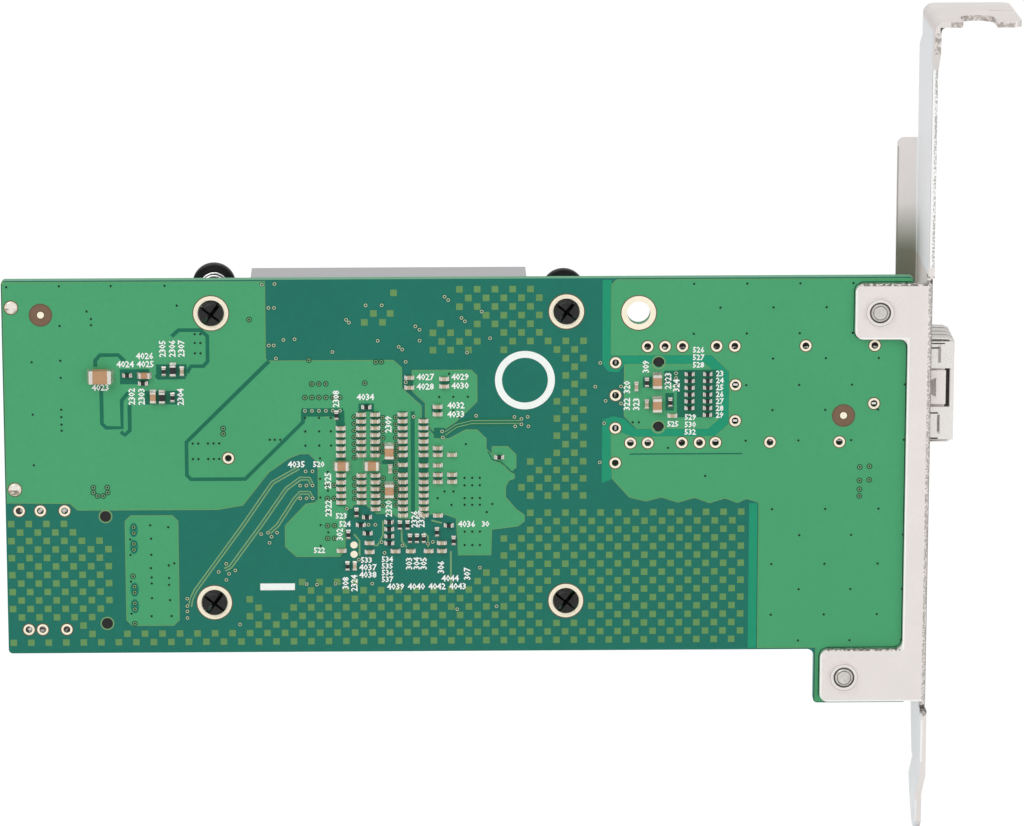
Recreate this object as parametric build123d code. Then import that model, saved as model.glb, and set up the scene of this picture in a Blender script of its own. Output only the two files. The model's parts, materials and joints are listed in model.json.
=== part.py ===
from build123d import *
import math
import os

os.makedirs("parts", exist_ok=True)

# All sizes are in millimetres.
# Measuring frame: X from the board's left edge to the bracket, Y from the solder face (0)
# into the component side, Z up from the board's lower edge. Every piece is moved at the end
# so that the stored origin is on the underside of the bracket's tab.

# Board
board_len = 130.5
board_high = 55.2
board_thick = 1.6
foot_wide = 13.6
foot_deep = 8.1
foot_inner_r = 1.0
board_corner_r = 0.6
skin = 0.04

# Slot bracket
sheet = 0.86
bracket_gap = 1.9
bracket_near_y = -2.38
bracket_wide = 18.42
bracket_rise = 37.65
bracket_high = 120.02
tab_shift = 3.17
tab_far_cut = 3.8
tab_long = 11.43
tab_slant_drop = 4.55
tab_slant_high = 2.9
tab_corner_r = 1.6
notch_wide = 4.85
notch_deep = 6.3
notch_from_face = 5.45
slit_wide = 0.4
slit_long = 3.8
slit_y = 4.6
bend_r = 1.5
tongue_joggle = 0.55
joggle_start = 8.57
joggle_end = 5.77
tongue_point = 1.77
tongue_top_y = 9.6
tongue_low_y = 8.3
tongue_side_y = 5.2
tongue_end_y = 2.2
tongue_corner_y = -0.2
tongue_tip_rise = 1.6
tongue_foot_out = 2.1
tongue_foot_rise = 5.0
far_low_in = 3.04
far_low_drop = 1.25
far_mid_in = 2.5
far_mid_rise = 4.75
far_full_rise = 2.4
far_top_drop = 1.9
flange_reach = 2.65
flange_top_gap = 0.9
flange_low_gap = 0.35
ear_top_long = 7.55
ear_top_high = 8.1
ear_low_long = 11.95
ear_low_high = 7.85
ear_corner_r = 1.2
ear_inner_r = 1.2
relief_r = 0.55
lip_drop = 20.25
lip_low_z = 6.0
lip_wide = 3.0
lip_corner_r = 1.0
screw_top_in = 3.5
screw_top_drop = 4.1
screw_low_in = 3.45
screw_low_rise = 3.8
screw_r = 1.42
screw_hole_r = 1.47
screw_board_r = 1.7
screw_head_r = 2.8
screw_head_high = 1.9
screw_out = 0.15
screw_tip_bevel = 0.25
cross_long = 3.0
cross_wide = 0.6
cross_deep = 0.9
boss_r = 2.05
boss_out = 0.55
cutter_long = 4.0

# Module cage and its nose
cage_out = 3.04
cage_long = 49.0
cage_drop = 17.15
cage_wide = 14.0
cage_wall = 0.25
cage_low_y = 1.95
cage_top_y = 11.4
cage_pin_thick = 0.3
cage_pin_wide = 0.62
cage_pin_tip_y = 0.15
cage_pin_root = 0.5
rear_pin_in = 0.62
rear_tab_front = 0.25
rear_tab_low = 0.05
rear_tab_high = 0.3
rear_pin_root = 0.2
pin_hole_r = 0.5
pin_ring_r = 0.8
cage_vent_r = 0.8
vent_columns = 9
vent_rows = 3
vent_first_in = 16.0
vent_pitch = 2.6
cover_gap = 0.03
cover_back = 1.0
cover_skirt_back = 1.0
cover_skirt_front = 4.0
cover_skirt_high = 1.6
cover_front_gap = 0.15
cover_slot_wide = 0.55
tongue_wide = 5.0
tongue_rise = 0.45
tongue_slit = 0.35
tongue_long = 12.3
latch_out = 0.1
latch_back = 1.4
latch_front = 0.85
latch_point = 0.2
latch_half = 1.45
window_gap = 0.35
window_corner_r = 0.8
collar_wall = 0.2
collar_gap = 0.05
collar_out = 0.45
collar_back_gap = 0.12
finger_bulge = 0.4
finger_gap = 0.45
finger_edge = 0.4
finger_count = 4
finger_count_far = 5
finger_lap = 0.02
finger_lift = 0.1
finger_crest_back = 0.75
finger_inner_back = 0.85
finger_root_back = 0.35
groove_out = 1.14
groove_wide = 0.42
groove_edge = 0.05
groove_deep = 0.02
groove_low_stop = 1.5
groove_high_start = 1.2
groove_low_in = 0.9
groove_high_in = 0.5
cover_groove_low_in = 0.85
cover_groove_high_in = 0.6
overlap = 0.01

# Port connector inside the cage
port_len = 11.2
port_rear_gap = 1.3
port_rise = 0.05
port_wide = 11.4
port_high = 7.4
port_slot_wide = 9.2
port_slot_high = 1.9
port_slot_deep = 6.5
port_slot_rise = 2.6
port_relief_rear = 2.4
port_relief_front = 2.6
port_relief_high = 1.3
port_relief_half = 4.7
port_peg_tip_y = -0.12
port_peg_root = 0.5
port_peg_bevel = 0.2
port_peg_r = 0.77
peg_clear = 0.03
port_peg_in = 6.8
port_peg_pitch = 9.5
contact_count = 10
contact_pitch = 0.8
contact_wide = 0.32
contact_thick = 0.2
contact_edge = 0.2
contact_foot_front = 2.4
contact_foot_rear = 2.2
contact_blade_deep = 6.3
contact_blade_in = 1.2

# Heat sink, push pins and controller
pin_left_share = 0.2295
pin_span_x = 50.9
pin_mid_drop = 26.275
pin_span_z = 42.85
push_hole_r = 1.9
push_ring_r = 2.5
sink_wide = 39.8
sink_over = 3.675
sink_base = 2.4
sink_tip_y = 14.1
fin_thick = 0.8
fin_count = 13
ear_pad_r = 3.4
ear_hole_r = 1.72
ear_root = 2.0
ear_trim = 20.0
push_shaft_r = 1.1
push_tip_r = 1.78
push_tip_out = 0.75
push_head_r = 3.15
push_head_y = 14.7
push_head_thick = 1.2
push_head_round = 0.25
push_shaft_low = 0.5
push_cone_mid = 0.95
push_cone_high = 1.7
push_nose_top = 0.1
push_tip_round = 0.6
push_slot_wide = 0.55
push_slot_deep = 4.5
push_slot_long = 6.0
push_cross_wide = 0.35
push_cross_deep = 3.0
push_slot_deg = 38
push_lean_deg = 4.4
spring_r = 1.9
spring_wire_r = 0.19
spring_turns = 5
spring_seat = 0.02
spring_lift = 0.22
package_wide = 25.0
ball_high = 0.45
ball_r = 0.28
ball_pitch = 1.0
substrate_thick = 0.75
lid_wide = 21.0
lid_thick = 1.1
lid_bevel = 0.25
thermal_pad_thick = 0.4
thermal_pad_wide = 20.0

# Spare holes in the board
spare_right = 10.35
spare_drop = 0.25
spare_r = 1.65
spare_ring_r = 2.47
tool_hole_x = 32.2
tool_hole_z = 29.0
tool_hole_r = 0.5

# Guessed parts of the component side
coil_wide = 6.0
coil_high = 2.9
coil_corner_r = 0.8
coil_right = 10.15
coil_pitch = 7.5
coil_low_z = 9.0
coil_rise = 9.5
coil_end_wide = 2.2
coil_end_high = 1.2
coil_end_thick = 0.25
can_len = 5.0
can_wide = 3.2
can_high = 1.2
can_in = 16.0
can_corner_r = 0.7
part_gap = 0.1
ic_high = 1.5
ic_bevel = 0.15
ic_leads_a_side = 4
ic_lead_pitch = 1.27
ic_full_long = 5.2
lead_wide = 0.4
lead_thick = 0.2
lead_top = 0.8
lead_bend_in = 0.25
lead_bend_out = 0.45
lead_foot_out = 1.0

# Link lamps and their light pipe
lamp_top_drop = 11.65
lamp_low_drop = 15.85
lamp_in = 9.5
lamp_y = 6.2
lamp_hole_r = 1.25
lamp_r = 1.1
lamp_body_back = 0.7
lamp_body_long = 1.6
lamp_body_high = 1.1
lamp_body_wide = 1.2
pipe_rise = 1.4
pipe_bar_rise = 2.2
pipe_long = 3.1
pipe_lap = 0.5
pipe_out = 0.5

# Left-end data connector
data_mid_z = 12.45
data_wide = 19.6
data_len = 15.6
data_high = 6.6
data_wall = 0.3
data_left = 0.3
data_rise = 0.1
data_rear_in = 1.2
data_body_long = 6.6
data_tongue_x = 1.6
data_floor_x = 2.2
data_floor_edge = 1.5
data_latch_x0 = 3.4
data_latch_x1 = 6.2
data_latch_in = 3.0
data_latch_out = 5.5
data_relief_back = 4.2
data_relief_half = 7.4
data_relief_deep = 0.7
body_gap = 0.05
data_tongue_wide = 14.0
data_tongue_thick = 1.4
data_peg_back = 1.22
data_peg_pitch = 16.0
data_peg_r = 0.77
data_peg_tip_y = -0.1
data_peg_root = 0.5
data_peg_slit = 0.03
data_rib_back = 2.2
data_rib_high = 2.0
data_rib_wide = 1.0
data_pin_r = 0.4
data_pin_tip_y = 0.2
data_pin_out = 8.87
data_contacts = 18
data_contact_pitch = 0.8
data_contact_wide = 0.3
data_contact_thick = 0.1
data_foot_back = 2.4
data_foot_out = 1.3
data_foot_thick = 0.2

# Left-end side header with its board locks
header_mid_z = 37.9
header_lock_pitch = 26.8
header_lock_x = 1.4
header_lock_r = 0.62
lock_gap = 0.005
lock_tip_y = -0.05
lock_dome_r = 0.85
lock_dome_high = 0.2
lock_dome_round = 0.14
lock_foot_long = 2.2
lock_foot_high = 2.6
lock_foot_half = 0.9
lock_foot_lap = 0.2
header_left = 0.4
header_rise = 0.1
header_wide = 24.4
header_len = 5.2
header_high = 5.6
header_wall = 0.8
header_pins = 9
header_pitch = 2.0
header_pin_share = 0.62
header_pin_wide = 0.5
header_pin_in = 0.8
header_foot_long = 2.0
header_foot_thick = 0.25

# Chip part sizes: length, width, height
size_s = (1.0, 0.5, 0.45)
size_m = (1.6, 0.8, 0.7)
size_l = (2.0, 1.25, 1.0)
size_xl = (3.2, 1.9, 1.5)
size_port_res = (1.0, 0.45, 0.4)
size_port_diode = (0.9, 0.45, 0.4)
solder_gap = 0.05

# Where the stored origin lies in the measuring frame
bracket_inner_x = board_len + bracket_gap
bracket_outer_x = bracket_inner_x + sheet
bracket_top_z = board_high + bracket_rise
origin_x = bracket_outer_x + notch_from_face
origin_y = 6.0
origin_z = bracket_top_z - sheet

# Places that follow from the sizes
foot_x = board_len - foot_wide
tip_z = bracket_top_z - bracket_high
tab_slant_top = bracket_top_z - tab_slant_drop
tab_slant_low = tab_slant_top - tab_slant_high
joggle_top_z = tip_z + joggle_start
joggle_low_z = tip_z + joggle_end
flange_left_x = bracket_inner_x - flange_reach
flange_top_z = board_high - flange_top_gap
flange_low_z = flange_low_gap - foot_deep
ear_top_x = flange_left_x - ear_top_long
ear_top_low_z = flange_top_z - ear_top_high
ear_low_x = flange_left_x - ear_low_long
ear_low_top_z = flange_low_z + ear_low_high
lip_top_z = bracket_top_z - lip_drop
screw_top_x = ear_top_x + screw_top_in
screw_top_z = flange_top_z - screw_top_drop
screw_low_x = ear_low_x + screw_low_in
screw_low_z = flange_low_z + screw_low_rise
cage_nose_x = bracket_outer_x + cage_out
cage_rear_x = cage_nose_x - cage_long
cage_mid_z = board_high - cage_drop
tongue_mid_z = cage_mid_z + tongue_rise
tongue_back_x = cage_nose_x - tongue_long
collar_nose_x = cage_nose_x + collar_out
groove_x = bracket_outer_x + groove_out
port_peg_x = cage_rear_x + port_peg_in
pin_left_x = pin_left_share * board_len
pin_right_x = pin_left_x + pin_span_x
pin_low_z = board_high - pin_mid_drop - pin_span_z / 2
sink_high = pin_span_z + 2 * sink_over
spare_x = pin_right_x + spare_right
spare_z = pin_low_z + pin_span_z - spare_drop
data_peg_x = data_len - data_peg_back

# Positions of the plated cage pins, from the cage's rear end and its middle
cage_pitch_z = cage_wide + 0.2
row_top_z = cage_mid_z + cage_pitch_z / 2
row_low_z = cage_mid_z - cage_pitch_z / 2
cage_side_pins_top = [cage_rear_x + d for d in (5.2, 7.7, 10.2, 15.1, 17.7, 27.9, 37.8)]
cage_side_pins_low = [cage_rear_x + d for d in (2.8, 5.3, 10.2, 12.75, 15.05, 22.9, 32.9)]
cage_rear_pins = [cage_mid_z + d for d in (4.75, -0.05, -4.9, -10.05)]
cage_rear_pin_x = cage_rear_x + rear_pin_in
cage_floor_places = ((17.85, 1.4), (17.85, -3.9), (37.8, -1.45))
cage_floor_pins = [(cage_rear_x + dx, cage_mid_z + dz) for dx, dz in cage_floor_places]

# Chip parts on the solder side, long side level: x, then the heights of the column
level_caps_s = [
    (48.4, [33.4, 32.4, 31.4, 30.4, 29.4, 26.45, 25.4, 24.4, 23.4, 22.4, 15.2]),
    (51.35, [35.4, 34.4, 33.4, 32.4, 31.4, 30.4, 29.4, 26.4, 25.4, 24.4, 23.4, 22.4]),
    (53.35, [35.4, 34.4, 33.4, 32.4, 31.4, 30.4, 29.4, 26.4, 25.4, 24.4, 23.4, 22.4, 21.4]),
    (52.45, [16.35, 15.0]),
    (57.3, [35.4, 34.4, 33.4, 32.4, 31.4, 30.4, 29.4, 27.95, 26.45, 25.4, 24.4, 23.4, 22.4, 21.4, 20.45]),
    (60.3, [34.4, 33.4, 32.4, 31.4, 30.4, 29.4, 27.85, 26.45, 25.4, 24.4, 23.4, 22.4, 21.4, 20.45]),
    (62.35, [36.5, 35.4, 30.4, 29.4, 27.85, 26.45, 25.4, 20.4]),
    (64.4, [29.4, 26.45, 25.4]),
    (58.3, [40.8, 39.35]),
    (63.3, [40.6, 39.5]),
    (62.9, [16.3, 15.1]),
    (56.2, [15.1]),
    (58.4, [15.1]),
    (61.0, [15.1]),
]
upright_caps_s = [(55.5, 27.3), (50.3, 12.9), (25.7, 41.9)]
level_caps_m = [(20.3, 41.35)]
upright_caps_m = [(21.5, 38.15)]
level_caps_l = [(48.5, 27.9), (52.85, 27.9)]
upright_caps_l = [(55.35, 29.95), (55.35, 24.2)]
level_caps_xl = [(14.0, 41.3)]

level_res_s = [
    (17.85, 41.35), (20.1, 40.15), (52.1, 36.5), (52.1, 20.2), (52.2, 17.8), (51.2, 19.05),
    (55.3, 19.45), (55.3, 18.4), (55.3, 17.35), (55.3, 16.3), (63.9, 18.9), (71.2, 29.0),
]
upright_res_s = [
    (23.1, 41.9), (24.3, 38.05), (47.8, 35.3), (50.6, 20.85), (49.4, 17.6), (56.85, 18.95), (57.95, 18.95),
    (58.3, 16.95), (59.3, 16.95), (60.3, 16.95), (62.2, 17.9), (64.6, 16.6), (49.25, 12.9),
]
upright_res_m = [(24.4, 42.1), (22.8, 38.1)]

# Chip parts beside the port's pegs, from the cage's rear end and its middle
port_level_caps_s = [(8.8, -3.05)]
port_upright_caps_s = [(3.6, 1.25), (5.1, -1.35)]
port_upright_caps_l = [(6.6, 2.1), (6.6, -1.4)]
port_upright_res_s = [(5.1, 1.85), (8.5, -1.1)]
port_row_low = -2.95
port_row_pitch = 1.0
port_rows = 7
port_res_in = 11.25
port_diode_in = 13.85

# Chip parts guessed for the component side: x, z
coil_x = pin_right_x + coil_right
front_level_caps = [(board_len - 14.3 + 2.0 * i, screw_top_z + 0.4) for i in range(3)]
front_upright_caps = [(pin_right_x + 3.15, 12.0 + 2.2 * i) for i in range(6)]
front_level_res = [(coil_x + 2.4 * i, 25.2) for i in range(6)]
front_upright_res = [(22.6, 26.0 + 1.8 * i) for i in range(7)]


def block(x0, x1, y0, y1, z0, z1):
    """A box between two corners."""
    return Pos((x0 + x1) / 2, (y0 + y1) / 2, (z0 + z1) / 2) * Box(x1 - x0, y1 - y0, z1 - z0)


def rod(x, z, r, y0, y1):
    """A round rod along Y."""
    return Pos(x, (y0 + y1) / 2, z) * Rot(90, 0, 0) * Cylinder(r, y1 - y0)


def ring(x, z, r_out, r_in, y0, y1):
    """A flat ring round an axis along Y."""
    return rod(x, z, r_out, y0, y1) - rod(x, z, r_in, y0 - 1, y1 + 1)


def plate_xz(points, y0, y1):
    """A flat plate from an outline in X and Z, between two depths."""
    face = make_face(Polyline(*[(x, y0, z) for x, z in points], close=True))
    return extrude(face, y1 - y0, dir=(0, 1, 0))


def plate_yz(points, x0, x1):
    """A flat plate from an outline in Y and Z, between two X positions."""
    face = make_face(Polyline(*[(x0, y, z) for y, z in points], close=True))
    return extrude(face, x1 - x0, dir=(1, 0, 0))


def plate_xy(points, z0, z1):
    """A flat plate from an outline in X and Y, between two heights."""
    face = make_face(Polyline(*[(x, y, z0) for x, y in points], close=True))
    return extrude(face, z1 - z0, dir=(0, 0, 1))


def round_edges(shape, r, keep):
    """Rounds the edges that the test keeps."""
    edges = shape.edges().filter_by(keep)
    return fillet(edges, r) if edges else shape


def along(axis, where, tol=0.02):
    """Keeps straight edges along one axis whose middle is near one of the given places."""
    picks = {"x": (1, 2), "y": (0, 2), "z": (0, 1)}[axis]
    unit = {"x": Vector(1, 0, 0), "y": Vector(0, 1, 0), "z": Vector(0, 0, 1)}[axis]

    def test(edge):
        if edge.geom_type != GeomType.LINE:
            return False
        if abs(abs(edge.tangent_at(0.5).dot(unit)) - 1) > 1e-4:
            return False
        mid = edge.center()
        here = (mid.X, mid.Y, mid.Z)
        return any(math.dist([here[k] for k in picks], spot) < tol for spot in where)

    return test


def store(name, shapes):
    """Moves the pieces to the stored origin and writes one file."""
    if not isinstance(shapes, (list, tuple)):
        shapes = [shapes]
    solids = []
    for shape in shapes:
        solids += shape.solids()
    moved = [s.moved(Location((-origin_x, -origin_y, -origin_z))) for s in solids]
    export_step(moved[0] if len(moved) == 1 else Compound(moved), "parts/" + name + ".step")


# Shared places
push_pins = [
    (pin_left_x, pin_low_z), (pin_left_x + pin_span_x, pin_low_z),
    (pin_left_x, pin_low_z + pin_span_z), (pin_left_x + pin_span_x, pin_low_z + pin_span_z),
]
sink_mid_x = pin_left_x + pin_span_x / 2
sink_mid_z = pin_low_z + pin_span_z / 2
screws = [(screw_top_x, screw_top_z), (screw_low_x, screw_low_z)]
cage_pins = (
    [(x, row_top_z) for x in cage_side_pins_top]
    + [(x, row_low_z) for x in cage_side_pins_low]
    + [(cage_rear_pin_x, z) for z in cage_rear_pins]
    + cage_floor_pins
)
port_pegs = [(port_peg_x, cage_mid_z - port_peg_pitch / 2), (port_peg_x, cage_mid_z + port_peg_pitch / 2)]
data_pins = (
    [(x, data_mid_z + data_pin_out) for x in (1.95, 5.0, 8.5)]
    + [(x, data_mid_z - data_pin_out) for x in (3.0, 5.0, 8.5)]
)
data_pegs = [(data_peg_x, data_mid_z - data_peg_pitch / 2), (data_peg_x, data_mid_z + data_peg_pitch / 2)]
header_locks = [
    (header_lock_x, header_mid_z - header_lock_pitch / 2),
    (header_lock_x, header_mid_z + header_lock_pitch / 2),
]

# Board
board = block(0, board_len, 0, board_thick, 0, board_high)
board += block(foot_x, board_len, 0, board_thick, -foot_deep, 1)
board = round_edges(board, foot_inner_r, along("y", [(foot_x, 0)]))
board = round_edges(board, board_corner_r, along("y", [
    (0, 0), (0, board_high), (board_len, board_high), (foot_x, -foot_deep), (board_len, -foot_deep)]))
for x, z in push_pins:
    board -= rod(x, z, push_hole_r, -1, board_thick + 1)
board -= rod(spare_x, spare_z, spare_r, -1, board_thick + 1)
board -= rod(tool_hole_x, tool_hole_z, tool_hole_r, -1, board_thick + 1)
for x, z in screws:
    board -= rod(x, z, screw_board_r, -1, board_thick + 1)
for x, z in cage_pins + data_pins:
    board -= rod(x, z, pin_hole_r, -1, board_thick + 1)
for x, z in header_locks:
    board -= rod(x, z, header_lock_r, -1, board_thick + 1)
for x, z in port_pegs:
    board -= rod(x, z, port_peg_r + peg_clear, -1, board_thick + 1)
for x, z in data_pegs:
    board -= rod(x, z, data_peg_r + peg_clear, -1, board_thick + 1)
store("board", board)

# Plated rings on both faces
rings = []
for y0, y1 in ((-skin, 0), (board_thick, board_thick + skin)):
    for x, z in push_pins:
        rings.append(ring(x, z, push_ring_r, push_hole_r, y0, y1))
    rings.append(ring(spare_x, spare_z, spare_ring_r, spare_r, y0, y1))
    rings.append(ring(tool_hole_x, tool_hole_z, pin_ring_r, tool_hole_r, y0, y1))
for x, z in cage_pins + data_pins:
    rings.append(ring(x, z, pin_ring_r, pin_hole_r, -skin, 0))
store("plated_rings", rings)

# Slot bracket
plate_far_y = bracket_near_y + bracket_wide
tab_near_y = bracket_near_y - tab_shift
tab_far_y = plate_far_y - tab_far_cut
tab_low_z = bracket_top_z - sheet
fold_y = -sheet
outline = [
    (tab_near_y, bracket_top_z), (tab_near_y, tab_slant_top), (bracket_near_y, tab_slant_low),
    (bracket_near_y, flange_top_z + 2 * relief_r), (fold_y, flange_top_z + 2 * relief_r),
    (fold_y, flange_low_z - 2 * relief_r), (bracket_near_y, flange_low_z - 2 * relief_r),
    (bracket_near_y, joggle_top_z), (tongue_top_y, joggle_top_z),
    (tongue_top_y + tongue_foot_out, joggle_top_z + tongue_foot_rise),
    (plate_far_y - far_low_in, flange_low_z - far_low_drop),
    (plate_far_y - far_mid_in, flange_low_z + far_mid_rise),
    (plate_far_y, ear_low_top_z + far_full_rise), (plate_far_y, tab_slant_top - far_top_drop),
    (tab_far_y, tab_slant_top), (tab_far_y, bracket_top_z),
]
plate = plate_yz(outline, bracket_inner_x, bracket_outer_x)
tongue_x = bracket_inner_x - tongue_joggle
slope = Polyline(
    (bracket_inner_x, bracket_near_y, joggle_top_z), (bracket_outer_x, bracket_near_y, joggle_top_z),
    (bracket_outer_x - tongue_joggle, bracket_near_y, joggle_low_z), (tongue_x, bracket_near_y, joggle_low_z),
    close=True)
slope_long = tongue_low_y - bracket_near_y
plate += extrude(make_face(slope), slope_long, dir=(0, 1, 0))
tip = [
    (bracket_near_y, joggle_low_z), (tongue_low_y, joggle_low_z), (tongue_side_y, tip_z + tongue_point),
    (tongue_end_y, tip_z), (tongue_corner_y, tip_z), (bracket_near_y, tip_z + tongue_tip_rise),
]
plate += plate_yz(tip, tongue_x, tongue_x + sheet)
tab = block(bracket_inner_x, bracket_outer_x + tab_long, tab_near_y, tab_far_y, tab_low_z, bracket_top_z)
tab_end_x = bracket_outer_x + tab_long
notch_x = origin_x
notch_end_y = tab_near_y + notch_deep - notch_wide / 2
tab -= block(notch_x - notch_wide / 2, notch_x + notch_wide / 2, tab_near_y - 1, notch_end_y,
             tab_low_z - 1, bracket_top_z + 1)
tab -= Pos(notch_x, notch_end_y, (tab_low_z + bracket_top_z) / 2) * Cylinder(notch_wide / 2, cutter_long)
tab -= block(tab_end_x - slit_long, tab_end_x + 1, slit_y - slit_wide / 2, slit_y + slit_wide / 2,
             tab_low_z - 1, bracket_top_z + 1)
tab = round_edges(tab, tab_corner_r, along("z", [(tab_end_x, tab_near_y), (tab_end_x, tab_far_y)]))
bracket = plate + tab
bracket = round_edges(bracket, bend_r, along("y", [(bracket_inner_x, bracket_top_z)]))
bracket = round_edges(bracket, bend_r - sheet, along("y", [(bracket_outer_x, tab_low_z)]))

# Flange with its two ears, folded onto the solder side
flange_pts = [
    (bracket_outer_x, flange_top_z), (ear_top_x, flange_top_z), (ear_top_x, ear_top_low_z),
    (flange_left_x, ear_top_low_z), (flange_left_x, ear_low_top_z), (ear_low_x, ear_low_top_z),
    (ear_low_x, flange_low_z), (bracket_outer_x, flange_low_z),
]
flange = plate_xz(flange_pts, -sheet, 0)
ear_corners = [
    (ear_top_x, flange_top_z), (ear_top_x, ear_top_low_z),
    (ear_low_x, ear_low_top_z), (ear_low_x, flange_low_z),
]
flange = round_edges(flange, ear_corner_r, along("y", ear_corners))
flange = round_edges(flange, ear_inner_r, along("y", [
    (flange_left_x, ear_top_low_z), (flange_left_x, ear_low_top_z)]))
for x, z in screws:
    flange += rod(x, z, boss_r, -sheet - boss_out, -sheet)
    flange -= rod(x, z, screw_hole_r, -sheet - boss_out - 1, 1)
bracket += flange
bracket = round_edges(bracket, sheet * 0.95, along("z", [(bracket_outer_x, -sheet)]))

# Stiffening lip on the component side
lip = block(bracket_inner_x - lip_wide, bracket_inner_x, plate_far_y - sheet, plate_far_y,
            lip_low_z, lip_top_z)
lip = round_edges(lip, lip_corner_r, along("y", [
    (bracket_inner_x - lip_wide, lip_top_z), (bracket_inner_x - lip_wide, lip_low_z)]))
bracket += lip

# Port window and lamp holes
window_z0 = cage_mid_z - cage_wide / 2 - collar_wall - collar_gap - window_gap
window_z1 = cage_mid_z + cage_wide / 2 + collar_wall + collar_gap + window_gap
window_y0 = cage_low_y - collar_wall - collar_gap - window_gap
window_y1 = cage_top_y + collar_wall + collar_gap + window_gap
window = block(bracket_inner_x - 1, bracket_outer_x + 1, window_y0, window_y1, window_z0, window_z1)
window = round_edges(window, window_corner_r, along("x", [
    (window_y0, window_z0), (window_y0, window_z1), (window_y1, window_z0), (window_y1, window_z1)]))
bracket -= window
lamp_z = [cage_mid_z - lamp_top_drop, cage_mid_z - lamp_low_drop]
for z in lamp_z:
    hole = Pos((bracket_inner_x + bracket_outer_x) / 2, lamp_y, z) * Rot(0, 90, 0)
    bracket -= hole * Cylinder(lamp_hole_r, cutter_long)
store("slot_bracket", bracket)

# Bracket screws, driven from the component side
screw_solids = []
for x, z in screws:
    head_top = board_thick + screw_head_high
    body = rod(x, z, screw_r, -sheet - boss_out - screw_out, board_thick + overlap)
    head = rod(x, z, screw_head_r, board_thick, head_top)
    head = fillet(head.edges().filter_by(GeomType.CIRCLE).sort_by(Axis.Y)[-1], screw_head_high * 0.45)
    cut = block(x - cross_long / 2, x + cross_long / 2, head_top - cross_deep, head_top + 1,
                z - cross_wide / 2, z + cross_wide / 2)
    cut += block(x - cross_wide / 2, x + cross_wide / 2, head_top - cross_deep, head_top + 1,
                 z - cross_long / 2, z + cross_long / 2)
    whole = body + head - cut
    low = whole.edges().filter_by(GeomType.CIRCLE).sort_by(Axis.Y)[0]
    screw_solids.append(chamfer(low, screw_tip_bevel))
store("bracket_screws", screw_solids)

# Module cage shell
cz0 = cage_mid_z - cage_wide / 2
cz1 = cage_mid_z + cage_wide / 2
shell = block(cage_rear_x, cage_nose_x, cage_low_y, cage_top_y, cz0, cz1)
shell -= block(cage_rear_x + cage_wall, cage_nose_x + 1, cage_low_y - 1, cage_top_y - cage_wall,
               cz0 + cage_wall, cz1 - cage_wall)
for i in range(vent_columns):
    for k in range(vent_rows):
        vent_x = cage_rear_x + vent_first_in + vent_pitch * i
        vent_z = cage_mid_z + vent_pitch * (k - (vent_rows - 1) / 2)
        shell -= rod(vent_x, vent_z, cage_vent_r, cage_top_y - 1, cage_top_y + 1)
for x in cage_side_pins_top:
    shell += block(x - cage_pin_wide / 2, x + cage_pin_wide / 2, cage_pin_tip_y, cage_low_y + cage_pin_root,
                   cz1 - cage_wall, cz1)
for x in cage_side_pins_low:
    shell += block(x - cage_pin_wide / 2, x + cage_pin_wide / 2, cage_pin_tip_y, cage_low_y + cage_pin_root,
                   cz0, cz0 + cage_wall)
for z in cage_rear_pins[:3]:
    shell += block(cage_rear_x, cage_rear_pin_x + rear_tab_front, cage_low_y + rear_tab_low,
                   cage_low_y + rear_tab_high, z - cage_pin_wide / 2, z + cage_pin_wide / 2)
    shell += block(cage_rear_pin_x - cage_pin_thick / 2, cage_rear_pin_x + cage_pin_thick / 2, cage_pin_tip_y,
                   cage_low_y + rear_pin_root, z - cage_pin_wide / 2, z + cage_pin_wide / 2)
store("cage_shell", shell)

# Cage bottom cover with the latch tongue
cover_x0 = cage_floor_pins[0][0] - cover_back
cover_y0 = cage_low_y
cover_y1 = cage_low_y + cage_wall
cover_z0 = cz0 + cage_wall + cover_gap
cover_z1 = cz1 - cage_wall - cover_gap
cover = block(cover_x0, cage_nose_x, cover_y0, cover_y1, cover_z0, cover_z1)
t0 = tongue_mid_z - tongue_wide / 2
t1 = tongue_mid_z + tongue_wide / 2
cover_front_x = cage_nose_x - cover_front_gap
for z0, z1 in ((t0 - tongue_slit, t0), (t1, t1 + tongue_slit)):
    cover -= block(tongue_back_x, cover_front_x, cover_y0 - 1, cover_y1 + 1, z0, z1)
cover -= block(cover_front_x - cover_slot_wide, cover_front_x, cover_y0 - 1, cover_y1 + 1,
               t0 - tongue_slit, t1 + tongue_slit)
latch_x = bracket_outer_x + latch_out
latch = [
    (latch_x - latch_back, latch_point), (latch_x + latch_front, latch_half),
    (latch_x + latch_front, -latch_half), (latch_x - latch_back, -latch_point),
]
cover -= plate_xz([(x, tongue_mid_z + dz) for x, dz in latch], cover_y0 - 1, cover_y1 + 1)
for z in (cover_z0, cover_z1 - cage_wall):
    cover += block(cover_x0 + cover_skirt_back, cage_nose_x - cover_skirt_front, cover_y0,
                   cover_y1 + cover_skirt_high, z, z + cage_wall)
cover_grooves = (
    (cz0 + cover_groove_low_in, t0 - groove_low_stop),
    (t1 + groove_high_start, cz1 - cover_groove_high_in),
)
for z0, z1 in cover_grooves:
    cover -= block(groove_x + groove_edge, groove_x + groove_wide - groove_edge, cover_y0 - 1,
                   cover_y1 + groove_deep, z0, z1)
for x, z in cage_floor_pins:
    cover += block(x - cage_pin_wide / 2, x + cage_pin_wide / 2, cage_pin_tip_y, cover_y0 + overlap,
                   z - cage_pin_thick / 2, z + cage_pin_thick / 2)
store("cage_bottom_cover", cover)

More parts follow.
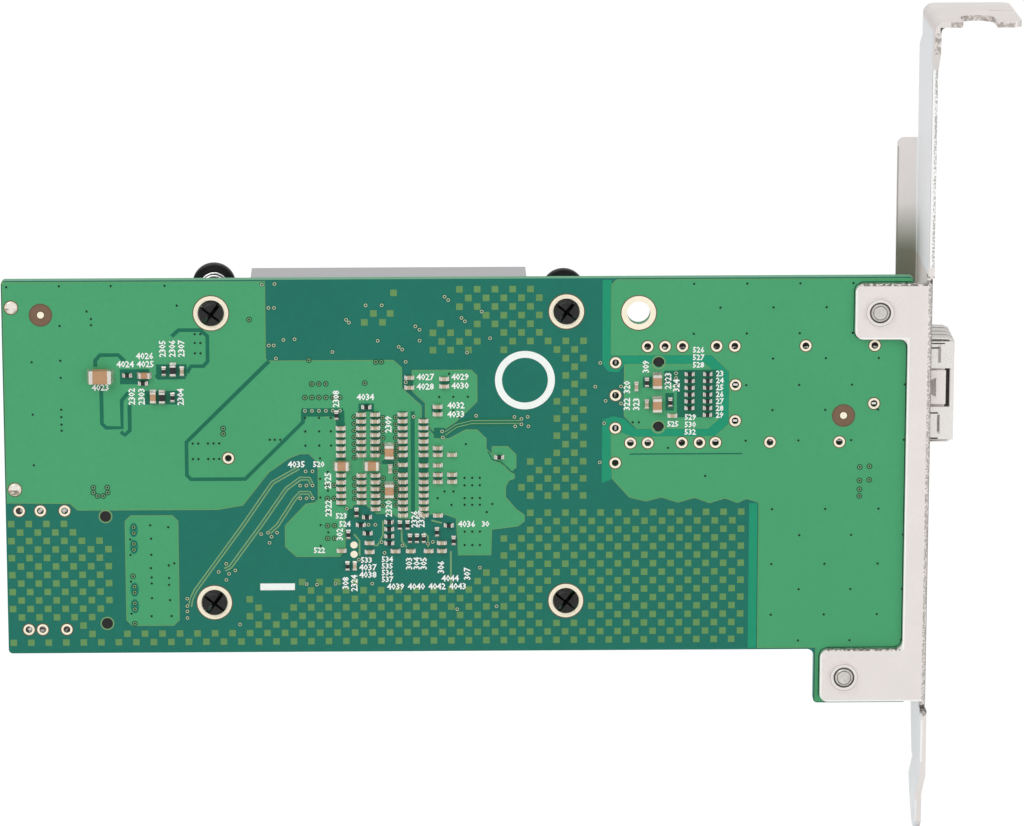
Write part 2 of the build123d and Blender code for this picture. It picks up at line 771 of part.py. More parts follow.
# Spring collar round the nose, outside the bracket
collar_x0 = bracket_outer_x + collar_back_gap
cy0 = cage_low_y - collar_gap - collar_wall
cy1 = cage_top_y + collar_gap + collar_wall
kz0 = cz0 - collar_gap - collar_wall
kz1 = cz1 + collar_gap + collar_wall
collar = block(collar_x0, collar_nose_x, cy0, cy1, kz0, kz1)
collar -= block(collar_x0 - 1, collar_nose_x + 1, cy0 + collar_wall, cy1 - collar_wall,
                kz0 + collar_wall, kz1 - collar_wall)
collar -= block(collar_x0 - 1, cage_nose_x - collar_gap, cy0 - 1, cy0 + collar_wall + overlap,
                t0 - tongue_slit, t1 + tongue_slit)
for z0, z1 in ((kz0 + groove_low_in, t0 - groove_low_stop), (t1 + groove_high_start, kz1 - groove_high_in)):
    collar -= block(groove_x, groove_x + groove_wide, cy0 - 1, cy0 + collar_wall + overlap, z0, z1)
crest_x = collar_nose_x - finger_crest_back
inner_x = collar_nose_x - finger_inner_back
root_x = collar_nose_x - finger_root_back
finger_high = finger_bulge + finger_lift
finger_span = (cy1 - cy0 - 2 * finger_edge + finger_gap) / finger_count
for i in range(finger_count):
    y0 = cy0 + finger_edge + i * finger_span
    y1 = y0 + finger_span - finger_gap
    for side, base in ((1, kz1), (-1, kz0)):
        path = [
            (collar_nose_x, base - side * collar_wall), (collar_nose_x, base + side * finger_lap),
            (crest_x, base + side * finger_bulge), (collar_x0, base + side * finger_high),
            (collar_x0, base + side * (finger_high - collar_wall)),
            (inner_x, base + side * (finger_bulge - collar_wall)), (root_x, base - side * collar_wall),
        ]
        collar += plate_xz(path, y0, y1)
finger_span_z = (kz1 - kz0 - 2 * finger_edge + finger_gap) / finger_count_far
for i in range(finger_count_far):
    z0 = kz0 + finger_edge + i * finger_span_z
    z1 = z0 + finger_span_z - finger_gap
    path = [
        (collar_nose_x, cy1 - collar_wall), (collar_nose_x, cy1 + finger_lap), (crest_x, cy1 + finger_bulge),
        (collar_x0, cy1 + finger_high), (collar_x0, cy1 + finger_high - collar_wall),
        (inner_x, cy1 + finger_bulge - collar_wall), (root_x, cy1 - collar_wall),
    ]
    collar += plate_xy(path, z0, z1)
store("cage_spring_collar", collar)

# Port connector inside the cage
px0 = cage_rear_x + cage_wall + port_rear_gap
px1 = px0 + port_len
port_y0 = board_thick + port_rise
port_y1 = port_y0 + port_high
port_slot_y = port_y0 + port_slot_rise
relief_z0 = cage_mid_z - port_relief_half
relief_z1 = cage_mid_z + port_relief_half
port = block(px0, px1, port_y0, port_y1, cage_mid_z - port_wide / 2, cage_mid_z + port_wide / 2)
port -= block(px1 - port_slot_deep, px1 + 1, port_slot_y, port_slot_y + port_slot_high,
              cage_mid_z - port_slot_wide / 2, cage_mid_z + port_slot_wide / 2)
port -= block(px0 - 1, px0 + port_relief_rear, port_y0 - 1, port_y0 + port_relief_high, relief_z0, relief_z1)
port -= block(px1 - port_relief_front, px1 + 1, port_y0 - 1, port_y0 + port_relief_high, relief_z0, relief_z1)
for x, z in port_pegs:
    peg = rod(x, z, port_peg_r, port_peg_tip_y, port_y0 + port_peg_root)
    port += chamfer(peg.edges().filter_by(GeomType.CIRCLE).sort_by(Axis.Y)[0], port_peg_bevel)
store("port_connector", port)

contacts = []
for i in range(contact_count):
    z = cage_mid_z + (i - (contact_count - 1) / 2) * contact_pitch
    z0, z1 = z - contact_wide / 2, z + contact_wide / 2
    for x0, x1, y in (
            (px1 - contact_foot_front, px1 - contact_edge, board_thick),
            (px0 + contact_edge, px0 + contact_foot_rear, board_thick),
            (px1 - contact_blade_deep, px1 - contact_blade_in, port_slot_y)):
        contacts.append(block(x0, x1, y, y + contact_thick, z0, z1))
store("port_contacts", contacts)

# Controller under the heat sink
ball_y = board_thick + ball_high
balls = []
ball_steps = int(package_wide / ball_pitch) - 1
for i in range(ball_steps + 1):
    for row in range(2):
        if row <= i <= ball_steps - row:
            a = (i - ball_steps / 2) * ball_pitch
            b = (ball_steps / 2 - row) * ball_pitch
            balls.append(rod(sink_mid_x + a, sink_mid_z + b, ball_r, board_thick, ball_y))
            balls.append(rod(sink_mid_x + a, sink_mid_z - b, ball_r, board_thick, ball_y))
            if row < i < ball_steps - row:
                balls.append(rod(sink_mid_x + b, sink_mid_z + a, ball_r, board_thick, ball_y))
                balls.append(rod(sink_mid_x - b, sink_mid_z + a, ball_r, board_thick, ball_y))
store("solder_balls", balls)
half = package_wide / 2
lid_y = ball_y + substrate_thick
pad_y = lid_y + lid_thick
sink_y = pad_y + thermal_pad_thick
substrate = block(sink_mid_x - half, sink_mid_x + half, ball_y, lid_y, sink_mid_z - half, sink_mid_z + half)
store("controller_substrate", substrate)
half = lid_wide / 2
lid = block(sink_mid_x - half, sink_mid_x + half, lid_y, pad_y, sink_mid_z - half, sink_mid_z + half)
lid = chamfer(lid.faces().sort_by(Axis.Y)[-1].edges(), lid_bevel)
store("controller_lid", lid)
half = min(thermal_pad_wide, lid_wide - 1) / 2
store("thermal_pad", block(sink_mid_x - half, sink_mid_x + half, pad_y, sink_y,
                           sink_mid_z - half, sink_mid_z + half))

# Heat sink
sx0 = sink_mid_x - sink_wide / 2
sx1 = sink_mid_x + sink_wide / 2
sz0 = sink_mid_z - sink_high / 2
sz1 = sink_mid_z + sink_high / 2
base_y = sink_y + sink_base
sink = block(sx0, sx1, sink_y, base_y, sz0, sz1)
for x, z in push_pins:
    toward_x = sx0 + ear_root if x < sink_mid_x else sx1 - ear_root
    sink += rod(x, z, ear_pad_r, sink_y, base_y)
    sink += block(min(x, toward_x), max(x, toward_x), sink_y, base_y, z - ear_pad_r, z + ear_pad_r)
sink -= block(sx0 - ear_trim, sx1 + ear_trim, sink_y - 1, base_y + 1, sz1, sz1 + ear_trim)
sink -= block(sx0 - ear_trim, sx1 + ear_trim, sink_y - 1, base_y + 1, sz0 - ear_trim, sz0)
for x, z in push_pins:
    sink -= rod(x, z, ear_hole_r, sink_y - 1, base_y + 1)
fin_step = (sink_high - fin_thick) / (fin_count - 1)
for i in range(fin_count):
    z = sz0 + i * fin_step
    sink += block(sx0, sx1, base_y, sink_tip_y, z, z + fin_thick)
store("heat_sink", sink)

# Push pins and springs
pins = []
springs = []
spring_low = base_y + spring_wire_r + spring_seat
spring_top = push_head_y - spring_wire_r - spring_seat
for n, (x, z) in enumerate(push_pins):
    lean = push_lean_deg if n == 2 else 0
    pin = rod(x, z, push_shaft_r, push_shaft_low, push_head_y + overlap)
    head = rod(x, z, push_head_r, push_head_y, push_head_y + push_head_thick)
    head = fillet(head.edges().filter_by(GeomType.CIRCLE), push_head_round)
    cone = Pos(x, push_cone_mid, z) * Rot(-90, 0, 0) * Cone(push_tip_r, push_shaft_r, push_cone_high)
    nose = rod(x, z, push_tip_r, -push_tip_out, push_nose_top)
    nose = fillet(nose.edges().filter_by(GeomType.CIRCLE).sort_by(Axis.Y)[0], push_tip_round)
    pin = pin + head + cone + nose
    slots = Box(push_slot_wide, push_slot_deep, push_slot_long)
    slots += Box(push_slot_long, push_cross_deep, push_cross_wide)
    pin -= Pos(x, 0, z) * Rot(0, push_slot_deg, 0) * slots
    lift = spring_lift if lean else 0
    turns_high = spring_top - spring_low - lift
    helix = Helix(pitch=turns_high / spring_turns, height=turns_high, radius=spring_r)
    wire = Plane(origin=helix @ 0, z_dir=helix % 0) * Circle(spring_wire_r)
    coil = sweep(wire, path=helix, is_frenet=True)
    coil = Pos(x, spring_low + lift, z) * Rot(-90, 0, 0) * coil
    if lean:
        pivot = Pos(x, board_thick / 2, z) * Rot(lean, 0, 0) * Pos(-x, -board_thick / 2, -z)
        pin = pivot * pin
        coil = pivot * coil
    pins.append(pin)
    springs.append(coil)
store("push_pins", pins)
store("push_pin_springs", springs)

# Left-end data connector: metal shell, housing and contacts
dz0 = data_mid_z - data_wide / 2
dz1 = data_mid_z + data_wide / 2
dy0 = board_thick + data_rise
dy1 = dy0 + data_high
rear_x = data_len - data_rear_in
wall_x = rear_x - data_wall
floor_y = dy0 + data_wall
data_shell = block(data_left, rear_x, dy0, dy1, dz0, dz1)
data_shell -= block(-1, wall_x, floor_y, dy1 - data_wall, dz0 + data_wall, dz1 - data_wall)
data_shell -= block(data_floor_x, data_len, dy0 - 1, floor_y + overlap,
                    dz0 + data_floor_edge, dz1 - data_floor_edge)
for side in (-1, 1):
    a, b = sorted((data_mid_z + side * data_latch_in, data_mid_z + side * data_latch_out))
    data_shell -= block(data_latch_x0, data_latch_x1, dy1 - 1, dy1 + 1, a, b)
peg_root_y = floor_y + body_gap + data_peg_root
for x, z in data_pegs:
    data_shell -= rod(x, z, data_peg_r + peg_clear, dy0 - 1, peg_root_y + data_peg_slit)
for x, z in data_pins:
    data_shell += rod(x, z, data_pin_r, data_pin_tip_y, dy0 + overlap)
store("data_connector_shell", data_shell)
body_x0 = wall_x - data_body_long
body_x1 = wall_x - body_gap
mid_y = (dy0 + dy1) / 2
data_tongue_y0 = mid_y - data_tongue_thick / 2
data_tongue_y1 = mid_y + data_tongue_thick / 2
housing = block(body_x0, body_x1, floor_y + body_gap, dy1 - data_wall - body_gap,
                dz0 + data_wall + body_gap, dz1 - data_wall - body_gap)
housing += block(data_tongue_x, body_x0 + 1, data_tongue_y0, data_tongue_y1,
                 data_mid_z - data_tongue_wide / 2, data_mid_z + data_tongue_wide / 2)
housing -= block(data_len - data_relief_back, data_len, dy0 - 1, floor_y + data_relief_deep,
                 data_mid_z - data_relief_half, data_mid_z + data_relief_half)
for x, z in data_pegs:
    housing += block(x - data_rib_back, body_x1, floor_y + body_gap - overlap, dy0 + data_rib_high,
                     z - data_rib_wide / 2, z + data_rib_wide / 2)
    housing += rod(x, z, data_peg_r, data_peg_tip_y, peg_root_y)
store("data_connector_housing", housing)
data_contact_solids = []
for i in range(data_contacts):
    z = data_mid_z + (i - (data_contacts - 1) / 2) * data_contact_pitch
    z0, z1 = z - data_contact_wide / 2, z + data_contact_wide / 2
    data_contact_solids.append(block(data_len - data_foot_back, data_len + data_foot_out,
                                     board_thick, board_thick + data_foot_thick, z0, z1))
    for y in (data_tongue_y0 - data_contact_thick, data_tongue_y1):
        data_contact_solids.append(block(data_floor_x, body_x0 - part_gap, y, y + data_contact_thick, z0, z1))
store("data_connector_contacts", data_contact_solids)

# Side header with board locks
hx0 = header_left
hx1 = hx0 + header_len
hz0 = header_mid_z - header_wide / 2
hz1 = header_mid_z + header_wide / 2
hy0 = board_thick + header_rise
back_x = hx1 - header_wall * 1.5
header = block(hx0, hx1, hy0, hy0 + header_high, hz0, hz1)
header -= block(hx0 - 1, back_x, hy0 + header_wall, hy0 + header_high - header_wall,
                hz0 + header_wall, hz1 - header_wall)
for side, (x, z) in zip((-1, 1), header_locks):
    inner_z = header_mid_z + side * (header_wide / 2 - lock_foot_lap)
    header += block(hx0, hx0 + lock_foot_long, hy0, hy0 + lock_foot_high,
                    min(z - lock_foot_half, inner_z), max(z + lock_foot_half, inner_z))
store("side_header", header)
header_pin_solids = []
half = header_pin_wide / 2
pin_y = hy0 + header_high * header_pin_share
for i in range(header_pins):
    z = header_mid_z + (i - (header_pins - 1) / 2) * header_pitch
    header_pin_solids.append(block(hx0 + header_pin_in, back_x, pin_y - half, pin_y + half,
                                   z - half, z + half))
    header_pin_solids.append(block(hx1, hx1 + header_foot_long, board_thick, board_thick + header_foot_thick,
                                   z - half, z + half))
store("side_header_pins", header_pin_solids)
locks = []
for x, z in header_locks:
    plug = rod(x, z, header_lock_r - lock_gap, lock_tip_y, hy0)
    dome = rod(x, z, lock_dome_r, -lock_dome_high, 0)
    dome = fillet(dome.edges().filter_by(GeomType.CIRCLE).sort_by(Axis.Y)[0], lock_dome_round)
    locks.append(plug + dome)
store("header_board_locks", locks)


# Chip parts, one plain block each, just clear of the board
cap_bodies = []
res_bodies = []


def chip(x, z, size, upright, bodies, front=False):
    """One chip part lying on a face of the board."""
    length, wide, high = size
    sign = 1 if front else -1
    base = board_thick if front else 0
    y0, y1 = sorted((base + sign * solder_gap, base + sign * (solder_gap + high)))
    dx, dz = (wide / 2, length / 2) if upright else (length / 2, wide / 2)
    bodies.append(block(x - dx, x + dx, y0, y1, z - dz, z + dz))


for x, heights in level_caps_s:
    for z in heights:
        chip(x, z, size_s, False, cap_bodies)
for size, upright, places in (
        (size_s, True, upright_caps_s), (size_m, False, level_caps_m), (size_m, True, upright_caps_m),
        (size_l, False, level_caps_l), (size_l, True, upright_caps_l), (size_xl, False, level_caps_xl)):
    for x, z in places:
        chip(x, z, size, upright, cap_bodies)
for size, upright, places in (
        (size_s, False, level_res_s), (size_s, True, upright_res_s), (size_m, True, upright_res_m)):
    for x, z in places:
        chip(x, z, size, upright, res_bodies)
for size, upright, bodies, places in (
        (size_s, False, cap_bodies, port_level_caps_s), (size_s, True, cap_bodies, port_upright_caps_s),
        (size_l, True, cap_bodies, port_upright_caps_l), (size_s, True, res_bodies, port_upright_res_s)):
    for dx, dz in places:
        chip(cage_rear_x + dx, cage_mid_z + dz, size, upright, bodies)
for i in range(port_rows):
    z = cage_mid_z + port_row_low + i * port_row_pitch
    if i > 0:
        chip(cage_rear_x + port_res_in, z, size_port_res, False, res_bodies)
    chip(cage_rear_x + port_diode_in, z, size_port_diode, False, res_bodies)
for size, upright, bodies, places in (
        (size_s, False, cap_bodies, front_level_caps), (size_m, True, cap_bodies, front_upright_caps),
        (size_s, False, res_bodies, front_level_res), (size_s, True, res_bodies, front_upright_res)):
    for x, z in places:
        chip(x, z, size, upright, bodies, True)
store("ceramic_capacitors", cap_bodies)
store("chip_resistors", res_bodies)

# Guessed parts of the component side
ic_bodies = []
ic_leads = []
ic_x = coil_x + 2 * coil_pitch
lamp_x = bracket_inner_x - lamp_in
lamp_mid_z = (lamp_z[0] + lamp_z[1]) / 2
ic_places = [
    (ic_x, 19.6, ic_full_long, 4.0), (ic_x, 12.0, ic_full_long, 4.0),
    (lamp_x - 2.9, lamp_mid_z + 0.3, 4.0, 3.2),
]


def lead_bar(x, side, reach, y0, y1, z):
    """One bar of a lead between two reaches on one side of a package."""
    a, b = sorted((x + side * reach[0], x + side * reach[1]))
    return block(a, b, board_thick + y0, board_thick + y1, z - lead_wide / 2, z + lead_wide / 2)


for x, z, long_z, wide_x in ic_places:
    body = block(x - wide_x / 2, x + wide_x / 2, board_thick + part_gap, board_thick + ic_high,
                 z - long_z / 2, z + long_z / 2)
    ic_bodies.append(chamfer(body.faces().sort_by(Axis.Y)[-1].edges(), ic_bevel))
    edge = wide_x / 2
    for i in range(ic_leads_a_side):
        zz = z + (i - (ic_leads_a_side - 1) / 2) * ic_lead_pitch * long_z / ic_full_long
        for side in (-1, 1):
            lead = lead_bar(x, side, (edge, edge + lead_bend_out), lead_top - lead_thick, lead_top, zz)
            lead += lead_bar(x, side, (edge + lead_bend_in, edge + lead_bend_out), 0, lead_top, zz)
            lead += lead_bar(x, side, (edge + lead_bend_in, edge + lead_foot_out), 0, lead_thick, zz)
            ic_leads.append(lead)
store("chip_packages", ic_bodies)
store("chip_leads", ic_leads)

coils = []
coil_ends = []
coil_half = coil_wide / 2
for x, z in [(coil_x, coil_low_z), (coil_x, coil_low_z + coil_rise), (coil_x + coil_pitch, coil_low_z)]:
    body = block(x - coil_half, x + coil_half, board_thick + part_gap, board_thick + part_gap + coil_high,
                 z - coil_half, z + coil_half)
    corners = [(x + a * coil_half, z + b * coil_half) for a in (-1, 1) for b in (-1, 1)]
    coils.append(round_edges(body, coil_corner_r, along("y", corners)))
    for side in (-1, 1):
        a = sorted((z + side * coil_half, z + side * (coil_half + coil_end_thick)))
        coil_ends.append(block(x - coil_end_wide / 2, x + coil_end_wide / 2, board_thick,
                               board_thick + coil_end_high, a[0], a[1]))
store("power_coils", coils)
store("coil_ends", coil_ends)

can_x1 = board_len - can_in
can_x0 = can_x1 - can_len
can_z0 = screw_top_z - 0.7 - can_wide / 2
can_z1 = can_z0 + can_wide
can = block(can_x0, can_x1, board_thick + part_gap, board_thick + part_gap + can_high, can_z0, can_z1)
can = round_edges(can, can_corner_r, along("y", [
    (can_x0, can_z0), (can_x0, can_z1), (can_x1, can_z0), (can_x1, can_z1)]))
store("crystal_can", can)

lamp_bodies = []
pipe = block(lamp_x, lamp_x + pipe_long, board_thick + pipe_bar_rise, lamp_y, lamp_z[1], lamp_z[0])
pipe_x0 = lamp_x + pipe_long - pipe_lap
pipe_x1 = bracket_outer_x + pipe_out
lamp_body_x = lamp_x + lamp_body_back
for z in lamp_z:
    lamp_bodies.append(block(lamp_body_x, lamp_body_x + lamp_body_long, board_thick,
                             board_thick + lamp_body_high, z - lamp_body_wide / 2, z + lamp_body_wide / 2))
    pipe += block(lamp_x, lamp_x + pipe_long, board_thick + pipe_rise, lamp_y + lamp_r,
                  z - lamp_r, z + lamp_r)
    pipe += Pos((pipe_x0 + pipe_x1) / 2, lamp_y, z) * Rot(0, 90, 0) * Cylinder(lamp_r, pipe_x1 - pipe_x0)
store("link_lamps", lamp_bodies)
store("lamp_light_pipe", pipe)
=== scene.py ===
import json
import math
import bpy
import bmesh
from mathutils import Matrix, Vector


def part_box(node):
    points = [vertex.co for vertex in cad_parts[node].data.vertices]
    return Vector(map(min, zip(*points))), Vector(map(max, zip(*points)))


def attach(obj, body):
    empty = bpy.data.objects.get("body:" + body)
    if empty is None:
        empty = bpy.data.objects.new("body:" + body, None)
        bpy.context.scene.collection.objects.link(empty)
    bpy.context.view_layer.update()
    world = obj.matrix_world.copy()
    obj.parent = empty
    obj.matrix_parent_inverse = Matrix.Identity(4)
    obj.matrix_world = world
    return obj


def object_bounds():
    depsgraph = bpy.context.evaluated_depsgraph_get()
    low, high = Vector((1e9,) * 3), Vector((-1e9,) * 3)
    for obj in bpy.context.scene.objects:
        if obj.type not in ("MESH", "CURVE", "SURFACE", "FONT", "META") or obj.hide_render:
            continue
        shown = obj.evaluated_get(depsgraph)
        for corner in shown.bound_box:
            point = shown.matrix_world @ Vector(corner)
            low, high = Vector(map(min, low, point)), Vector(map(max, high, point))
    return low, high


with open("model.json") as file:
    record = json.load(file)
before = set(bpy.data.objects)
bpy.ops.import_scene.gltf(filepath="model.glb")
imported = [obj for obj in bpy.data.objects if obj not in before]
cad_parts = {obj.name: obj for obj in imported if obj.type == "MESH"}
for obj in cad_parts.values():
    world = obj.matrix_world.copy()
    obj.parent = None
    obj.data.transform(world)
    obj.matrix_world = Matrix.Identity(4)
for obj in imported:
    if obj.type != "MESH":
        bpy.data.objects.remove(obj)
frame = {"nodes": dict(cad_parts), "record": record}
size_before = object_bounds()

nodes = frame["nodes"]
scene = bpy.context.scene

# The board's own frame: millimetres, x from its left edge, z from its lower edge, the solder face at y = 0
BOARD_HIGH = 55.2
BOARD_THICK = 1.6
MM = 0.001
board_low, board_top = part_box("board")
LEFT = board_low[0]
FACE = board_low[1]
LOW = board_top[2] - BOARD_HIGH * MM
PLACE = Matrix.Translation((LEFT, FACE, LOW)) @ Matrix.Scale(MM, 4)

# Places that more than one piece uses
SCREWS = [(125.7, 50.2), (121.25, -3.95)]
PEGS = [(94.1, 33.3), (94.1, 42.8), (14.38, 4.45), (14.38, 20.45)]
LOCKS = [(1.4, 24.5), (1.4, 51.3)]
TARGETS = [(5.6, 50.2), (120.75, 34.85)]
WHITE_RING = (74.9, 40.3)
WHITE_BAR = (39.1, 9.8)
VIA_PAIRS_X = 18.4
VIA_PAIRS_Z = (18.4, 15.9, 9.5, 7.0)

# Depths of the bracket's parts, from front to back, for the colours painted on them
TAB_EDGE = (-5.65, -5.45)
PLATE_EDGE = (-2.5, -2.3)
INNER_FACE = (-2.3, 16.2)
FLANGE_FRONT = (-0.9, -0.8)
FLANGE_FOLD = (-1.0, 0.3)
EAR_TOP = (-1.0, 0.1)
FOLD_RELIEF = (-2.6, 0.2)
NOTCH_WALL = (-3.0, 1.6)
LIP_FRONT = (15.0, 15.3)
WHOLE_CARD = (-5.0, 140.0, -20.0, 70.0)

# How far the thin layers stand out of the solder face, from the lowest up
BAND = 0.014
SQUARE = 0.016
POUR = 0.018
CLEARING = 0.022
TRACK_BED = 0.024
FAR_VIA = 0.026
TRACK = 0.03
MARK = 0.03
GAP = 0.034
PLATING_OUTLINE = 0.036
OUTLINE = 0.038
PEG_RIM = 0.04
DOT = 0.042
LAND = 0.044
WELL = 0.046
PALE_WELL = 0.048
LOCK_RING = 0.05
PRINT = 0.052
PAD = 0.054
VIA_MOUTH = 0.058

# Layers that overlap stand this much apart, so that neither shows through the other
BAND_STEP = 0.0004
STEP = 0.0003
PATCH_STEP = 0.0002


# Colours

def rgb(r, g, b):
    """A screen colour, turned into the value that a shader takes."""
    parts = []
    for c in (r, g, b):
        c = c / 255
        parts.append(c / 12.92 if c <= 0.04045 else ((c + 0.055) / 1.055) ** 2.4)
    return (parts[0], parts[1], parts[2], 1.0)


def shade(colour, k):
    """A colour made lighter or darker."""
    return (min(colour[0] * k, 1), min(colour[1] * k, 1), min(colour[2] * k, 1), 1.0)


# Materials

def surface(name, colour, rough, metal=0.0, grain=1200.0, uneven=0.06, relief=0.02, streak=(1, 1, 1),
            rough_uneven=0.08, clear=0.0, shine=0.5):
    """A material whose colour, gloss and relief wander a little from place to place."""
    mat = bpy.data.materials.new(name)
    mat.use_nodes = True
    tree = mat.node_tree
    shader = tree.nodes["Principled BSDF"]
    where = tree.nodes.new("ShaderNodeTexCoord")
    turn = tree.nodes.new("ShaderNodeMapping")
    turn.inputs["Scale"].default_value = streak
    fine = tree.nodes.new("ShaderNodeTexNoise")
    fine.inputs["Scale"].default_value = grain
    fine.inputs["Detail"].default_value = 4.0
    broad = tree.nodes.new("ShaderNodeTexNoise")
    broad.inputs["Scale"].default_value = grain / 14
    broad.inputs["Detail"].default_value = 2.0
    both = tree.nodes.new("ShaderNodeMix")
    both.data_type = "FLOAT"
    both.inputs[0].default_value = 0.5
    tint = tree.nodes.new("ShaderNodeValToRGB")
    tint.color_ramp.elements[0].position = 0.3
    tint.color_ramp.elements[1].position = 0.7
    tint.color_ramp.elements[0].color = shade(colour, 1 - uneven)
    tint.color_ramp.elements[1].color = shade(colour, 1 + uneven)
    gloss = tree.nodes.new("ShaderNodeMapRange")
    gloss.inputs["From Min"].default_value = 0.3
    gloss.inputs["From Max"].default_value = 0.7
    gloss.inputs["To Min"].default_value = max(rough - rough_uneven, 0.02)
    gloss.inputs["To Max"].default_value = min(rough + rough_uneven, 1.0)
    bump = tree.nodes.new("ShaderNodeBump")
    bump.inputs["Strength"].default_value = 0.5
    bump.inputs["Distance"].default_value = relief * MM
    join = tree.links.new
    join(where.outputs["Object"], turn.inputs["Vector"])
    join(turn.outputs["Vector"], fine.inputs["Vector"])
    join(turn.outputs["Vector"], broad.inputs["Vector"])
    join(fine.outputs["Fac"], both.inputs[2])
    join(broad.outputs["Fac"], both.inputs[3])
    join(both.outputs[0], tint.inputs["Fac"])
    join(both.outputs[0], gloss.inputs["Value"])
    join(fine.outputs["Fac"], bump.inputs["Height"])
    join(tint.outputs["Color"], shader.inputs["Base Color"])
    join(gloss.outputs["Result"], shader.inputs["Roughness"])
    join(bump.outputs["Normal"], shader.inputs["Normal"])
    shader.inputs["Metallic"].default_value = metal
    shader.inputs["Transmission Weight"].default_value = clear
    shader.inputs["Specular IOR Level"].default_value = shine
    return mat


def combine(tree, kind, first, second):
    """One step of arithmetic between two values or outputs."""
    node = tree.nodes.new("ShaderNodeMath")
    node.operation = kind
    for n, value in enumerate((first, second)):
        if isinstance(value, float):
            node.inputs[n].default_value = value
        else:
            tree.links.new(value, node.inputs[n])
    return node.outputs[0]


def within(tree, where, low, high):
    """1 inside a box given in board millimetres, 0 outside it."""
    a, b = PLACE @ Vector(low), PLACE @ Vector(high)
    value = where
    for kind, amount in (("SUBTRACT", (a + b) / 2), ("ABSOLUTE", None), ("DIVIDE", (b - a) / 2)):
        step = tree.nodes.new("ShaderNodeVectorMath")
        step.operation = kind
        tree.links.new(value, step.inputs[0])
        if amount is not None:
            step.inputs[1].default_value = amount
        value = step.outputs[0]
    split = tree.nodes.new("ShaderNodeSeparateXYZ")
    tree.links.new(value, split.inputs[0])
    farthest = combine(tree, "MAXIMUM", split.outputs[0], split.outputs[1])
    farthest = combine(tree, "MAXIMUM", farthest, split.outputs[2])
    return combine(tree, "LESS_THAN", farthest, 1.0)


def slabs(depth, *spans):
    """Boxes over one depth, each from its span of x and of z."""
    return [((x0, depth[0], z0), (x1, depth[1], z1)) for x0, x1, z0, z1 in spans]


def paint(mat, boxes, colour, cover=1.0, grain=0.0, fade=None):
    """Lays a second colour over a material inside boxes, broken up by a grain or faded along the height."""
    tree = mat.node_tree
    shader = tree.nodes["Principled BSDF"]
    below = shader.inputs["Base Color"].links[0].from_socket
    where = next(n for n in tree.nodes if n.type == "TEX_COORD").outputs["Object"]
    share = within(tree, where, *boxes[0])
    for box in boxes[1:]:
        share = combine(tree, "MAXIMUM", share, within(tree, where, *box))
    share = combine(tree, "MULTIPLY", share, float(cover))
    if grain:
        noise = tree.nodes.new("ShaderNodeTexNoise")
        noise.inputs["Scale"].default_value = grain
        noise.inputs["Detail"].default_value = 2.0
        tree.links.new(where, noise.inputs["Vector"])
        limits = tree.nodes.new("ShaderNodeMapRange")
        limits.inputs["From Min"].default_value = 0.4
        limits.inputs["From Max"].default_value = 0.56
        tree.links.new(noise.outputs["Fac"], limits.inputs["Value"])
        share = combine(tree, "MULTIPLY", share, limits.outputs["Result"])
    if fade:
        split = tree.nodes.new("ShaderNodeSeparateXYZ")
        tree.links.new(where, split.inputs[0])
        slope = tree.nodes.new("ShaderNodeMapRange")
        slope.inputs["From Min"].default_value = LOW + fade[0] * MM
        slope.inputs["From Max"].default_value = LOW + fade[1] * MM
        tree.links.new(split.outputs[2], slope.inputs["Value"])
        share = combine(tree, "MULTIPLY", share, slope.outputs["Result"])
    mixed = tree.nodes.new("ShaderNodeMix")
    mixed.data_type = "RGBA"
    mixed.inputs[7].default_value = colour
    tree.links.new(share, mixed.inputs[0])
    tree.links.new(below, mixed.inputs[6])
    tree.links.new(mixed.outputs[2], shader.inputs["Base Color"])


def solder_mask(name, colour, uneven=0.05, grain=1200.0):
    """Green lacquer over copper or bare laminate."""
    return surface(name, colour, 0.36, grain=grain, uneven=uneven, relief=0.006, shine=0.25)


# The board shows its paler laminate on its cut edges, between the two lacquered faces
mask_dark = solder_mask("mask_dark", rgb(16, 108, 92), grain=900.0)
paint(mask_dark, slabs((0.04, BOARD_THICK - 0.04), WHOLE_CARD), rgb(78, 148, 110))
mask_light = solder_mask("mask_light", rgb(67, 155, 105), 0.035)
mask_bright = solder_mask("mask_bright", rgb(16, 142, 105), 0.03)
mask_moat = solder_mask("mask_moat", rgb(14, 104, 78))
mask_square = solder_mask("mask_square", rgb(97, 141, 84), 0.06)
mask_trace = solder_mask("mask_trace", rgb(116, 156, 108))
mask_ring = solder_mask("mask_ring", rgb(176, 196, 164), 0.06)
mask_pocket = solder_mask("mask_pocket", rgb(14, 124, 100))
mask_well = solder_mask("mask_well", rgb(8, 84, 62), 0.06)
mask_edge = solder_mask("mask_edge", rgb(98, 150, 92), 0.08)
mask_hole = solder_mask("mask_hole", rgb(6, 36, 28), 0.1)
# Painted shade, for the dark sheets inside holes and gaps
painted_shade = surface("painted_shade", rgb(26, 20, 17), 0.6, uneven=0.25)
print_white = surface("print_white", rgb(236, 240, 236), 0.55, uneven=0.03, relief=0.01)
gold_flash = surface("gold_flash", rgb(246, 236, 212), 0.34, metal=0.2, uneven=0.05, relief=0.004)
screw_grey = surface("screw_grey", rgb(74, 68, 62), 0.4, metal=0.4, grain=1800.0, uneven=0.35)
boss_grey = surface("boss_grey", rgb(176, 170, 164), 0.4, metal=0.4, grain=1800.0, uneven=0.2)
bare_copper = surface("bare_copper", rgb(112, 84, 62), 0.45, uneven=0.12, relief=0.006)
ring_brown = surface("ring_brown", rgb(92, 74, 48), 0.5, uneven=0.12, relief=0.006)
solder_bright = surface("solder_bright", rgb(222, 218, 210), 0.26, 0.85, 2600.0, 0.14, 0.006)
